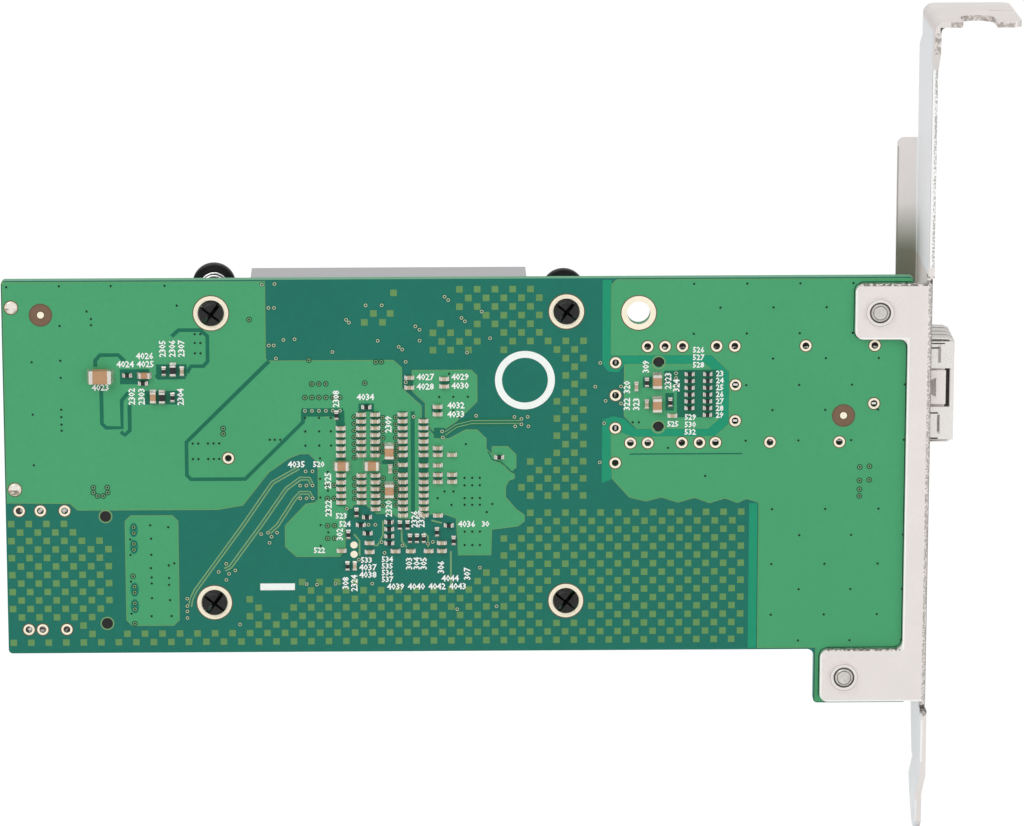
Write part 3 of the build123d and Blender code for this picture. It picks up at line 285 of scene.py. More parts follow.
pale_ceramic = surface("pale_ceramic", rgb(172, 160, 134), 0.5, 0.0, 2600.0, 0.16, 0.01)
# Painted light: a brighter copy of the cage's steel, with less metal, for the cage's bottom cover
lit_cover_steel = surface("lit_cover_steel", rgb(238, 231, 226), 0.36, 0.55, 1800.0, 0.03, 0.008)
black_plastic = surface("black_plastic", rgb(28, 27, 28), 0.42, 0.0, 2200.0, 0.2, 0.02, shine=0.3)
along_fins = (0.06, 1, 1)
sink_aluminium = surface("sink_aluminium", rgb(176, 176, 178), 0.42, 0.5, 1500.0, 0.05, 0.012,
                         streak=along_fins)
clear_plastic = surface("clear_plastic", rgb(236, 240, 240), 0.12, uneven=0.02, relief=0.002, clear=0.85)

# The bracket, with painted light and shade: painted highlights on the rims round the flange and a white
# painted highlight on the near edge, painted shade on the lip's front, and a cool painted light on the
# inner faces
folded_steel = surface("folded_steel", rgb(237, 230, 227), 0.4, 0.7, 2400.0, 0.03, 0.008, rough_uneven=0.05)
flange_rim_highlights = slabs(FLANGE_FRONT, (122.15, 122.45, 46.15, 54.0), (122.15, 129.8, 46.15, 46.45),
                    (129.7, 130.0, 0.1, 46.3), (117.75, 118.05, -7.8, -0.2), (117.75, 133.0, -7.8, -7.5))
paint(folded_steel, flange_rim_highlights, rgb(255, 253, 250), cover=0.9)
paint(folded_steel, slabs(PLATE_EDGE, (132.3, 133.4, 57.0, 86.0)), rgb(255, 255, 255))
paint(folded_steel, slabs(LIP_FRONT, (129.2, 129.58, 55.0, 71.4)), rgb(120, 116, 104), cover=0.6)
inner_face_light = slabs(INNER_FACE, (132.2, 132.45, 55.8, 91.0), (131.7, 132.45, -30.0, -9.0))
paint(folded_steel, inner_face_light, rgb(246, 249, 252), cover=0.9)

# Painted shade along the fold and the near edge: grey specks and a thin dark line
fold_shade_specks = (slabs(FLANGE_FOLD, (132.6, 133.4, -7.7, 54.2))
               + slabs(PLATE_EDGE, (132.85, 133.2, 57.0, 86.0)))
paint(folded_steel, fold_shade_specks, rgb(140, 135, 126), cover=0.7, grain=3600.0)
fold_shade_lines = (slabs(PLATE_EDGE, (132.42, 132.5, 57.0, 86.0))
              + slabs(FLANGE_FOLD, (133.12, 133.4, -7.7, 54.2)))
paint(folded_steel, fold_shade_lines, rgb(120, 115, 106), cover=0.7)

# Painted shade, broken by a grain: on the ears' tops, in the fold's reliefs, on the tab's cut edges and in
# the fold under the tab; and a dark spot of painted shade at the tab's corner
ear_top_shade = slabs(EAR_TOP, (122.7, 132.5, 53.98, 54.4), (118.8, 129.4, -0.12, 0.2))
paint(folded_steel, ear_top_shade, rgb(96, 88, 78), cover=0.85, grain=2200.0)
fold_relief_shade = slabs(FOLD_RELIEF, (132.3, 133.3, 54.2, 55.7), (132.3, 133.3, -9.6, -7.8))
paint(folded_steel, fold_relief_shade, rgb(60, 56, 48), cover=0.9, grain=1400.0)
tab_edge_shade = (slabs(NOTCH_WALL, (134.0, 143.0, 91.9, 92.78))
             + slabs(TAB_EDGE, (134.6, 144.0, 91.95, 92.78)))
paint(folded_steel, tab_edge_shade, rgb(128, 118, 106), cover=0.6, grain=1800.0)
paint(folded_steel, slabs(TAB_EDGE, (132.35, 133.35, 87.6, 91.2)), rgb(132, 126, 112),
      cover=0.7, grain=2400.0)
paint(folded_steel, slabs(TAB_EDGE, (133.1, 133.8, 91.3, 92.0)), rgb(30, 28, 26), cover=0.9)

# Painted highlights in white lines on the tongue's near edge, and painted shade on the lip's lower part
tongue_highlights = slabs(PLATE_EDGE, (132.42, 132.72, -16.5, -10.2), (131.75, 132.0, -27.6, -22.3))
paint(folded_steel, tongue_highlights, rgb(255, 255, 255), cover=0.8)
paint(folded_steel, slabs(LIP_FRONT, (129.0, 132.3, 20.0, 73.0)), rgb(126, 127, 106),
      cover=0.85, fade=(63.0, 56.0))

# Painted shade on the cage's pins inside the board, broken by a grain; and a painted reflection that
# darkens the solder of the board locks in its lower half
pin_steel = surface("pin_steel", rgb(208, 203, 198), 0.3, 0.85, 1800.0, 0.04, 0.01)
paint(pin_steel, slabs((-2.0, 1.55), WHOLE_CARD), rgb(40, 28, 22), cover=0.92, grain=1500.0)
lock_solder = surface("lock_solder", rgb(236, 230, 220), 0.26, 0.7, 2600.0, 0.06, 0.006)
reflected_lower_halves = slabs((-2.0, 1.0), *[(x - 1.4, x + 1.6, z - 0.75, z - 0.08) for x, z in LOCKS])
paint(lock_solder, reflected_lower_halves, rgb(112, 88, 58), cover=0.85, grain=1300.0)

# Finishes with nothing painted on them: colour, roughness, metal, grain, unevenness, relief
plain_finishes = {
    "screw_steel": (rgb(214, 210, 204), 0.34, 0.75, 1900.0, 0.3, 0.02),
    "collar_steel": (rgb(236, 232, 228), 0.28, 0.8, 1800.0, 0.04, 0.008),
    "contact_gold": (rgb(226, 186, 104), 0.26, 0.95, 2600.0, 0.05, 0.006),
    "spring_steel": (rgb(224, 224, 222), 0.2, 0.95, 2600.0, 0.05, 0.004),
    "pad_rubber": (rgb(178, 182, 188), 0.8, 0.0, 1500.0, 0.08, 0.03),
    "substrate_green": (rgb(60, 120, 76), 0.42, 0.0, 1500.0, 0.08, 0.01),
    "lid_metal": (rgb(200, 200, 200), 0.34, 0.85, 1800.0, 0.05, 0.01),
    "cream_plastic": (rgb(232, 226, 206), 0.48, 0.0, 1500.0, 0.04, 0.012),
    "capacitor_ceramic": (rgb(178, 136, 100), 0.5, 0.0, 2600.0, 0.14, 0.02),
    "resistor_black": (rgb(16, 16, 18), 0.42, 0.0, 2600.0, 0.2, 0.01),
    "package_black": (rgb(38, 38, 40), 0.55, 0.0, 2600.0, 0.16, 0.02),
    "coil_grey": (rgb(92, 92, 94), 0.6, 0.0, 2400.0, 0.14, 0.03),
    "lamp_white": (rgb(232, 232, 220), 0.35, 0.0, 1200.0, 0.04, 0.006),
}
finish_of = {slot: surface(slot, *values) for slot, values in plain_finishes.items()}
finish_of.update({
    "board": mask_dark,
    "gold_plating": gold_flash,
    "bracket_steel": folded_steel,
    "cage_steel": pin_steel,
    "solder": solder_bright,
    "black_plastic": black_plastic,
    "sink_aluminium": sink_aluminium,
    "clear_plastic": clear_plastic,
})
# The cage's bottom cover takes the brighter copy of the cage's steel, which stands in for light on it
own_finish = {"cage_bottom_cover": lit_cover_steel, "header_board_locks": lock_solder}
slot_of = {row["node"]: row["material_slot"] for row in frame["record"]["subparts"]}
for name, node in nodes.items():
    node.data.materials.clear()
    node.data.materials.append(own_finish.get(name, finish_of[slot_of[name]]))


# Making pieces

def keep(name, bm, material):
    """Turns drawn geometry into a finished piece that rides with the card."""
    mesh = bpy.data.meshes.new(name)
    bm.transform(PLACE)
    bmesh.ops.recalc_face_normals(bm, faces=bm.faces)
    bm.to_mesh(mesh)
    bm.free()
    for face in mesh.polygons:
        face.use_smooth = False
    mesh.materials.append(material)
    piece = bpy.data.objects.new(name, mesh)
    scene.collection.objects.link(piece)
    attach(piece, "root")


ROUND = 0.5523  # length of a handle that bends a quarter turn, as a share of the radius


def film(bm, outline, thick, sunk=0.01):
    """A thin film with a drawn outline, with the board's holes left open.

    Here and below, thick is how far a film stands out of the solder face and sunk how far it reaches in.
    """
    curve = bpy.data.curves.new("film", "CURVE")
    curve.dimensions = "2D"
    curve.fill_mode = "BOTH"
    curve.extrude = (thick + sunk) / 2
    curve.resolution_u = 5
    edge = curve.splines.new("POLY")
    edge.points.add(len(outline) - 1)
    edge.use_cyclic_u = True
    for point, (x, z) in zip(edge.points, outline):
        point.co = (x, z, 0, 1)
    for x, z, r in holes:
        if inside(x, z, outline):
            edge = curve.splines.new("BEZIER")
            edge.bezier_points.add(3)
            edge.use_cyclic_u = True
            for n, point in enumerate(edge.bezier_points):
                a = n * math.pi / 2
                point.co = (x + r * math.cos(a), z + r * math.sin(a), 0)
                point.handle_left_type = point.handle_right_type = "FREE"
                lean = ROUND * r
                point.handle_left = (point.co[0] + lean * math.sin(a), point.co[1] - lean * math.cos(a), 0)
                point.handle_right = (point.co[0] - lean * math.sin(a), point.co[1] + lean * math.cos(a), 0)
    mesh = as_mesh(curve)
    mesh.transform(Matrix.Translation((0, (sunk - thick) / 2, 0)) @ Matrix.Rotation(math.pi / 2, 4, "X"))
    bm.from_mesh(mesh)


def tile(bm, x, z, wide, high, thick, sunk=0.01):
    """A small rectangular film."""
    spot = Matrix.Translation((x, (sunk - thick) / 2, z)) @ Matrix.Diagonal((wide, thick + sunk, high, 1))
    bmesh.ops.create_cube(bm, size=1.0, matrix=spot)


def disc(bm, x, z, r, thick, sides=14, sunk=0.01, stretch=1.0):
    """A round film; stretch makes it taller than wide."""
    turn = Matrix.Diagonal((1, 1, stretch, 1)) @ Matrix.Rotation(math.pi / 2, 4, "X")
    spot = Matrix.Translation((x, (sunk - thick) / 2, z)) @ turn
    bmesh.ops.create_cone(bm, cap_ends=True, segments=sides, radius1=r, radius2=r,
                          depth=thick + sunk, matrix=spot)


def ring(bm, x, z, r_out, r_in, thick, sides=32, sunk=0.01):
    """A flat ring."""
    spot = Matrix.Translation((x, sunk, z)) @ Matrix.Rotation(math.pi / 2, 4, "X")
    rim = bmesh.ops.create_circle(bm, cap_ends=False, segments=sides, radius=r_out, matrix=spot)
    edges = list({e for v in rim["verts"] for e in v.link_edges})
    inner = bmesh.ops.extrude_edge_only(bm, edges=edges)
    verts = [v for v in inner["geom"] if isinstance(v, bmesh.types.BMVert)]
    bmesh.ops.scale(bm, verts=verts, vec=(r_in / r_out, 1, r_in / r_out),
                    space=Matrix.Translation((-x, 0, -z)))
    faces = list({f for v in verts for f in v.link_faces})
    grown = bmesh.ops.extrude_face_region(bm, geom=faces)
    moved = [v for v in grown["geom"] if isinstance(v, bmesh.types.BMVert)]
    bmesh.ops.translate(bm, verts=moved, vec=(0, -thick - sunk, 0))


def as_mesh(curve):
    """The mesh of a curve or of a line of text."""
    holder = bpy.data.objects.new("holder", curve)
    scene.collection.objects.link(holder)
    bpy.context.view_layer.update()
    mesh = bpy.data.meshes.new_from_object(holder.evaluated_get(bpy.context.evaluated_depsgraph_get()))
    bpy.data.objects.remove(holder)
    return mesh


def tracks(bm, lines, wide, thick):
    """Narrow raised tracks along drawn lines, with a low rounded back."""
    curve = bpy.data.curves.new("tracks", "CURVE")
    curve.dimensions = "3D"
    curve.bevel_depth = wide / 2
    curve.bevel_resolution = 1
    curve.use_fill_caps = True
    curve.twist_mode = "Z_UP"
    for line in lines:
        spline = curve.splines.new("POLY")
        spline.points.add(len(line) - 1)
        for point, (x, z) in zip(spline.points, line):
            point.co = (x, z, 0, 1)
    mesh = as_mesh(curve)
    mesh.transform(Matrix.Diagonal((1, 2 * thick / wide, 1, 1)) @ Matrix.Rotation(math.pi / 2, 4, "X"))
    bm.from_mesh(mesh)


def inside(x, z, outline):
    """Whether a place lies within an outline."""
    hit = False
    for (x0, z0), (x1, z1) in zip(outline, outline[1:] + outline[:1]):
        if (z0 > z) != (z1 > z) and x < (x1 - x0) * (z - z0) / (z1 - z0) + x0:
            hit = not hit
    return hit


def bodies_of(name):
    """The low and the high corner of each separate body of a node, in board millimetres."""
    bm = bmesh.new()
    bm.from_mesh(nodes[name].data)
    bmesh.ops.remove_doubles(bm, verts=bm.verts, dist=1e-6)
    corner = (LEFT, FACE, LOW)
    found = []
    seen = set()
    for start in bm.verts:
        if start in seen:
            continue
        seen.add(start)
        group = [start]
        for v in group:
            for e in v.link_edges:
                other = e.other_vert(v)
                if other not in seen:
                    seen.add(other)
                    group.append(other)
        low, high = [[(pick(v.co[k] for v in group) - corner[k]) / MM for k in range(3)]
                     for pick in (min, max)]
        found.append((low, high))
    bm.free()
    return found


# Holes right through the board: the plated ones are found from their rings

PLATED_BACK = 0.5  # rings that start further in than this are on the component side
plated = []
for low, high in bodies_of("plated_rings"):
    if low[1] < PLATED_BACK:
        plated.append(((low[0] + high[0]) / 2, (low[2] + high[2]) / 2, (high[0] - low[0]) / 2))
pin_holes = [(x, z) for x, z, r in plated if r < 0.9]
holes = [(x, z, 0.8) for x, z in PEGS] + [(x, z, 0.62) for x, z in LOCKS] + [(x, z, 1.7) for x, z in SCREWS]
holes += [(x, z, r - 0.12) for x, z, r in plated]


# Copper areas under the mask

pours = [
    [(0.25, 54.95), (37.7, 54.95), (37.7, 43.6), (38.1, 43.3), (56.0, 43.3), (57.2, 42.2), (57.2, 39.2),
     (60.0, 36.6), (60.0, 21.0), (58.4, 19.9), (56.8, 19.9), (55.6, 20.8), (53.6, 20.6), (52.0, 21.9),
     (50.2, 22.0), (48.9, 20.0), (48.9, 15.6), (48.2, 14.3), (41.9, 14.3), (40.3, 15.8), (40.3, 18.9),
     (43.3, 22.1), (44.6, 22.3), (45.1, 22.8), (45.1, 28.3), (43.8, 29.6), (42.5, 29.6), (41.0, 29.0),
     (38.0, 26.9), (34.2, 22.0), (30.5, 21.4), (10.4, 21.4), (9.3, 22.4), (0.25, 22.5)],
    [(58.7, 41.8), (67.2, 41.8), (68.0, 41.0), (68.0, 37.2), (66.6, 35.8), (64.9, 34.2), (63.0, 32.9),
     (61.7, 32.9), (60.6, 34.2), (60.6, 37.0), (58.7, 38.8)],
    [(60.6, 33.6), (62.2, 31.7), (64.0, 31.7), (66.4, 33.0), (68.0, 33.0), (69.3, 31.7), (69.3, 30.2),
     (72.9, 26.6), (73.4, 26.4), (73.4, 25.8), (72.6, 25.5), (72.1, 24.6), (72.1, 23.0), (73.6, 21.2),
     (74.8, 20.3), (74.8, 19.4), (73.9, 18.7), (70.1, 18.2), (70.0, 14.4), (65.3, 14.4), (65.0, 19.9),
     (63.4, 20.5), (60.6, 20.5)],
    [(70.2, 30.5), (72.4, 30.5), (73.6, 29.3), (73.6, 27.4), (73.0, 26.9), (71.5, 28.0), (70.2, 28.4)],
    [(88.0, 54.95), (130.3, 54.95), (130.3, -7.9), (117.2, -7.9), (117.2, 0.25), (108.7, 0.25),
     (108.7, 22.0), (106.9, 22.6), (105.6, 22.0), (103.8, 22.7), (101.6, 22.0), (99.4, 22.8), (97.0, 22.1),
     (94.6, 22.9), (92.4, 22.3), (90.0, 22.9), (89.0, 24.0), (87.5, 25.7), (87.3, 32.5), (88.6, 32.5),
     (90.2, 31.8), (102.3, 31.8), (104.3, 33.7), (104.3, 41.4), (101.7, 43.95), (87.3, 43.95),
     (87.3, 54.2)],
    [(89.2, 42.5), (100.8, 42.5), (102.7, 40.7), (102.7, 34.4), (101.2, 33.1), (91.0, 33.1), (89.2, 34.9)],
    [(18.0, 20.5), (24.0, 20.5), (24.8, 19.7), (24.8, 4.9), (24.0, 4.1), (18.0, 4.1), (17.2, 4.9),
     (17.2, 19.7)],
]
bm = bmesh.new()
for n, outline in enumerate(pours):
    film(bm, outline, POUR + STEP * n)
keep("copper_pours", bm, mask_light)

bands = [
    [(86.0, 54.95), (87.3, 54.95), (87.3, 42.5), (86.0, 42.6)],
    [(87.3, 43.95), (101.7, 43.95), (104.3, 41.4), (102.7, 40.7), (100.8, 42.5), (89.2, 42.5),
     (88.3, 41.4), (86.9, 41.5), (86.0, 42.6), (87.3, 42.7)],
    [(104.3, 41.4), (104.3, 33.7), (102.7, 34.4), (102.7, 40.7)],
    [(104.3, 33.7), (102.3, 31.8), (90.2, 31.8), (90.7, 33.1), (101.2, 33.1), (102.7, 34.4)],
    [(88.5, 32.5), (90.2, 31.8), (90.7, 33.1), (89.2, 34.5), (88.5, 34.7)],
    [(86.0, 33.7), (86.0, 34.4), (87.6, 34.9), (88.5, 34.7), (88.5, 33.7)],
    [(86.0, 34.4), (87.3, 33.6), (87.3, 28.5), (89.8, 28.8), (90.7, 27.9), (89.4, 27.4), (89.2, 26.7),
     (87.4, 27.0), (87.4, 25.6), (86.0, 25.0)],
    [(107.3, 21.9), (108.5, 21.9), (108.5, 0.25), (107.3, 0.25)],
    [(104.3, 41.4), (104.3, 40.6), (102.7, 40.6), (100.7, 42.6), (101.5, 43.0)],
]
bm = bmesh.new()
for n, outline in enumerate(bands):
    film(bm, outline, BAND + BAND_STEP * n)
keep("copper_bands", bm, mask_bright)

bm = bmesh.new()
for outline in pours:
    tracks(bm, [outline + outline[:1]], wide=0.16, thick=TRACK)
keep("copper_edges", bm, mask_edge)


# Copper areas and via dots on the component side, drawn as on the solder side and turned over

far_pours = [
    [(0.25, 54.95), (31.0, 54.95), (33.0, 53.0), (33.0, 30.5), (30.0, 27.5), (12.0, 27.5), (10.0, 25.5),
     (0.25, 25.5)],
    [(84.0, 54.95), (130.3, 54.95), (130.3, 29.4), (85.2, 29.4), (84.0, 30.6)],
    [(95.5, 28.4), (130.3, 28.4), (130.3, -7.9), (117.2, -7.9), (117.2, 0.25), (96.7, 0.25), (95.5, 1.4)],
    [(34.5, 0.25), (92.5, 0.25), (92.5, 6.5), (90.8, 8.2), (36.2, 8.2), (34.5, 6.5)],
]
far_dots = [(2.2 + 3.9 * i, z) for i in range(8) for z in (53.6, 46.0, 36.5, 29.0)]
far_dots += [(86.0 + 4.3 * i, z) for i in range(11) for z in (53.9, 29.6)]
far_dots += [(97.0 + 4.1 * i, z) for i in range(8) for z in (1.6, 12.5, 21.0)]
far_dots += [(36.5 + 4.0 * i, 1.5) for i in range(14)]
turned_over = Matrix.Translation((0, BOARD_THICK, 0)) @ Matrix.Diagonal((1, -1, 1, 1))
bm = bmesh.new()
for n, outline in enumerate(far_pours):
    film(bm, outline, POUR + STEP * n)
bm.transform(turned_over)
keep("far_side_pours", bm, mask_light)

bm = bmesh.new()
for x, z in far_dots:
    disc(bm, x, z, r=0.17, thick=FAR_VIA, sides=10)
bm.transform(turned_over)
keep("far_side_vias", bm, mask_hole)


# Dark gaps and patches in the copper

gaps = [
    [(38.2, 43.3), (26.2, 31.4), (26.2, 26.5), (26.8, 25.9), (34.6, 25.9), (43.0, 34.3), (43.0, 36.0)],
    [(13.3, 42.6), (13.3, 43.5), (14.0, 44.3), (16.6, 44.3), (17.5, 43.4)],
    [(14.1, 40.3), (14.1, 34.2), (14.7, 33.6), (17.0, 33.6), (17.0, 37.6), (18.0, 38.8)],
    [(18.1, 37.0), (18.1, 33.2), (17.4, 32.5), (16.8, 33.0)],
    [(24.3, 47.0), (25.3, 47.9), (28.4, 47.9), (29.4, 47.0), (29.4, 43.3), (28.8, 42.6), (27.0, 42.6),
     (26.4, 41.6)],
    [(26.2, 41.0), (22.3, 40.9), (22.0, 41.4)],
    [(58.75, 35.8), (58.75, 20.5)],
    [(54.3, 28.3), (56.0, 28.3)],
]
under_a_pair = [(63.1, 32.4), (64.9, 33.6), (67.2, 34.2), (74.0, 34.2)]
thin_gaps = [
    [(90.0, 29.3), (106.2, 29.3)],
    [(69.6, 29.8), (70.2, 28.6), (71.5, 28.2), (73.2, 26.6)],
]
patches = [  # middle in x and z, width, height
    (45.8, 35.7, 6.0, 1.2), (48.35, 34.6, 1.2, 2.6), (18.9, 41.1, 4.2, 2.2), (24.2, 42.0, 4.4, 1.8),
    (22.9, 38.0, 5.2, 2.0), (52.1, 36.4, 2.2, 1.2), (48.4, 31.4, 1.25, 5.6), (48.4, 24.3, 1.25, 5.0),
    (51.35, 32.4, 1.3, 6.8), (51.35, 24.3, 1.3, 4.8), (53.35, 32.4, 1.3, 6.8), (53.35, 23.8, 1.3, 5.8),
    (57.35, 28.0, 1.35, 15.6), (60.3, 27.4, 1.35, 14.8), (62.3, 29.9, 1.3, 1.6), (62.3, 26.0, 1.3, 1.6),
    (64.4, 25.9, 1.3, 1.5), (58.3, 40.1, 1.1, 2.0), (63.4, 40.1, 1.4, 1.6), (62.2, 36.0, 1.4, 1.4),
    (98.7, 38.2, 3.9, 7.0), (101.4, 38.2, 2.4, 7.0), (95.7, 37.0, 1.2, 2.6), (92.5, 39.9, 1.3, 1.6),
    (50.3, 20.6, 2.0, 1.6), (96.0, 40.6, 2.2, 2.0), (62.6, 32.6, 1.6, 1.5),
]
bm = bmesh.new()
tracks(bm, gaps, wide=0.85, thick=GAP)
tracks(bm, thin_gaps, wide=0.3, thick=GAP)
for n, (x, z, wide, high) in enumerate(patches):
    tile(bm, x, z, wide, high, GAP + PATCH_STEP * n)
tracks(bm, [under_a_pair], wide=1.3, thick=TRACK_BED)
keep("copper_gaps", bm, mask_moat)


# Copper squares in the empty areas

square_areas = [
    [(0.0, 5.0), (13.0, 5.0), (13.0, 6.1), (15.3, 6.1), (15.3, 17.4), (10.2, 17.4), (10.2, 20.0),
     (0.0, 20.0)],
    [(0.0, 1.0), (107.0, 1.0), (107.0, 2.2), (0.0, 2.2)],
    [(11.5, 2.2), (13.0, 2.2), (13.0, 3.4), (11.5, 3.4)],
    [(10.2, 3.5), (11.6, 3.5), (11.6, 4.8), (10.2, 4.8)],
    [(16.5, 2.2), (107.0, 2.2), (107.0, 3.4), (16.5, 3.4)],
    [(35.0, 3.4), (107.0, 3.4), (107.0, 9.4), (35.0, 9.4)],
    [(42.5, 9.4), (51.5, 9.4), (51.5, 10.8), (42.5, 10.8)],
    [(67.4, 9.4), (107.0, 9.4), (107.0, 12.2), (67.4, 12.2)],
    [(71.2, 12.2), (107.0, 12.2), (107.0, 17.6), (71.2, 17.6)],
    [(75.6, 17.6), (106.9, 17.6), (106.9, 21.9), (75.6, 21.9)],
    [(73.8, 22.4), (84.0, 22.4), (84.0, 28.9), (75.0, 28.9)],
    [(78.9, 28.9), (84.0, 28.9), (84.0, 46.6), (78.9, 46.6)],
    [(65.4, 50.9), (77.4, 50.9), (77.4, 54.4), (65.4, 54.4)],
    [(66.9, 48.0), (77.4, 48.0), (77.4, 50.9), (70.6, 50.9), (66.9, 49.4)],
    [(60.7, 44.0), (68.8, 44.0), (68.8, 47.8), (60.7, 47.8)],
    [(71.0, 44.2), (84.0, 44.2), (84.0, 46.9), (77.6, 46.9), (77.6, 47.9), (71.0, 47.9)],
]
PITCH = 1.27
SIDE = 0.95
FIRST = (0.75, 1.6)
keep_clear = [(29.95, 7.5, 3.4), (80.85, 7.5, 3.4), (*WHITE_RING, 5.2), (*WHITE_BAR, 3.4)]
lone_squares = [(56.1, 53.2), (53.2, 50.2), (55.6, 50.2), (51.9, 48.9), (54.5, 48.9), (62.8, 48.7)]
bm = bmesh.new()
for i in range(84):
    for k in range(43):
        x, z = FIRST[0] + PITCH * i, FIRST[1] + PITCH * k
        if (i + k) % 2 or not any(inside(x, z, area) for area in square_areas):
            continue
        if all(math.hypot(x - cx, z - cz) > r for cx, cz, r in keep_clear):
            tile(bm, x, z, SIDE, SIDE, SQUARE)
for x, z in lone_squares:
    tile(bm, x, z, SIDE, SIDE, SQUARE)
keep("copper_squares", bm, mask_square)


# Signal tracks

def beside(line, apart):
    """A pair of lines either side of a drawn one."""
    pair = []
    for side in (-apart / 2, apart / 2):
        moved = []
        for n, (x, z) in enumerate(line):
            x0, z0 = line[max(n - 1, 0)]
            x1, z1 = line[min(n + 1, len(line) - 1)]
            run = math.hypot(x1 - x0, z1 - z0)
            moved.append((x - side * (z1 - z0) / run, z + side * (x1 - x0) / run))
        pair.append(moved)
    return pair


pairs = [
    [(42.3, 27.5), (38.5, 25.3), (34.2, 19.0), (27.2, 9.3), (26.6, 8.0), (26.4, 6.9)],
    [(44.2, 25.0), (43.8, 25.9), (42.5, 25.9), (40.5, 24.4), (36.8, 19.0), (32.3, 12.8), (31.5, 12.4)],
    [(44.2, 23.0), (43.8, 23.8), (42.5, 23.8), (41.7, 22.9), (39.2, 19.0), (38.0, 17.9)],
    [(63.3, 32.4), (65.0, 33.6), (67.2, 34.15), (74.2, 34.15)],
]
singles = [
    [(64.2, 15.0), (64.2, 9.8)], [(53.0, 15.9), (53.6, 15.9), (54.4, 17.4), (54.4, 19.6)],
    [(57.1, 18.4), (57.1, 16.6), (57.8, 15.6)], [(60.9, 15.6), (60.9, 17.2), (60.3, 17.8)],
    [(61.4, 19.6), (62.9, 19.2)], [(50.2, 17.6), (51.0, 16.6), (51.0, 14.4)], [(46.2, 34.9), (47.2, 35.4)],
    [(96.6, 41.1), (97.8, 41.1)], [(101.9, 41.0), (102.6, 40.3)], [(96.9, 39.1), (97.8, 38.4)],
]
bm = bmesh.new()
for line in pairs:
    tracks(bm, beside(line, 0.42), wide=0.2, thick=TRACK)
tracks(bm, singles, wide=0.24, thick=TRACK)
keep("signal_tracks", bm, mask_trace)


# Plated through holes

ringed = [
    (12.7, 24.75), (12.7, 24.0), (13.3, 23.5), (14.1, 23.5), (14.75, 24.0), (14.7, 24.75), (51.9, 40.0),
    (35.4, 49.4), (31.5, 33.4), (31.5, 32.6), (46.4, 24.9), (47.4, 24.9), (46.4, 22.95), (47.4, 22.95),
    (46.4, 18.9), (47.4, 18.9), (46.4, 17.0), (47.4, 17.0), (123.2, 27.2), (124.6, 27.3), (123.2, 25.2),
    (124.6, 25.3), (123.2, 23.9), (123.2, 22.9), (43.9, 43.4), (53.5, 43.1), (54.3, 43.1), (18.2, 11.5),
    (18.35, 4.4),
]
ringed += [(44.3 + i, 39.9) for i in range(3)] + [(43.3 + i, 37.9) for i in range(6)]
ringed += [(50.35, 35.0 - i) for i in range(7)] + [(50.35, 25.9 - i) for i in range(4)]
ringed += [(54.45, 34.9 - i) for i in range(6)] + [(54.45, 25.9 - i) for i in range(5)]
ringed += [(56.3, 34.9 - i) for i in range(14)]
ringed += [(VIA_PAIRS_X, z + dz) for z in VIA_PAIRS_Z for dz in (-0.45, 0.45)]
pale = [
    (37.3, 54.5), (39.1, 54.6), (38.2, 51.1), (39.0, 51.1), (40.3, 46.4), (41.9, 46.5), (38.2, 45.6),
    (38.9, 45.6), (39.2, 43.7), (47.3, 44.6), (49.3, 49.3), (49.7, 48.9), (52.1, 51.4), (54.4, 51.4),
    (53.8, 46.2), (56.8, 45.3), (57.3, 44.9), (57.8, 43.1), (59.2, 48.3), (59.8, 47.8), (59.8, 46.2),
    (63.4, 52.6), (63.9, 52.1), (65.8, 49.5), (66.3, 49.0), (68.7, 50.4), (69.9, 46.5), (66.6, 44.4),
    (67.9, 35.1), (73.4, 34.9), (74.4, 34.6), (75.3, 34.9), (73.5, 33.5), (74.4, 33.8), (75.4, 33.5),
    (85.7, 42.8), (85.0, 39.3), (86.5, 37.2), (86.3, 33.9), (85.7, 28.1), (88.7, 39.3), (88.7, 36.8),
    (43.3, 27.0), (44.3, 27.0), (42.5, 24.9), (43.4, 24.9), (44.3, 24.9), (42.5, 23.0), (43.4, 23.0),
    (44.3, 23.0), (36.8, 17.7), (37.8, 17.9), (39.1, 17.9), (38.3, 17.3), (38.0, 16.4), (26.0, 8.1),
    (26.0, 7.0), (26.0, 6.2), (26.0, 5.2), (31.7, 13.3), (30.6, 12.1), (32.1, 11.8), (33.0, 12.3),
    (31.7, 10.9), (33.6, 4.2), (43.3, 10.2), (44.8, 10.1), (47.5, 10.2), (52.8, 10.2), (65.1, 6.3),
    (68.4, 12.5), (70.8, 6.7), (96.6, 41.2), (96.6, 40.5), (96.6, 39.4), (57.8, 40.1), (63.0, 32.8),
    (63.1, 31.9), (49.2, 21.4), (52.3, 19.0), (53.3, 19.0), (54.2, 16.4), (57.2, 15.9), (60.9, 16.1),
    (61.6, 16.4), (50.9, 13.8), (54.6, 14.8), (58.9, 35.0),
]
pale += [(43.3 + i, 35.95) for i in range(6)]
dots = [
    (4.2, 43.3), (4.2, 35.6), (4.2, 28.1), (0.8, 54.3), (15.7, 54.4), (23.4, 54.4), (12.2, 50.7),
    (12.8, 49.6), (12.8, 48.7), (25.1, 51.5), (38.2, 31.7), (38.9, 31.7), (39.7, 31.7), (20.8, 19.1),
    (23.4, 18.8), (20.9, 17.1), (20.9, 14.7), (24.2, 13.4), (23.4, 13.1), (20.8, 12.7), (20.9, 11.3),
    (23.4, 11.2), (20.9, 10.4), (23.4, 10.2), (20.9, 8.2), (23.5, 7.9), (20.8, 5.5), (23.7, 5.5),
    (64.0, 41.3), (62.6, 37.9), (64.6, 37.9), (66.7, 37.9), (62.6, 35.9), (64.6, 35.9), (95.5, 30.2),
    (90.4, 34.0), (91.3, 34.0), (100.9, 26.0),
]
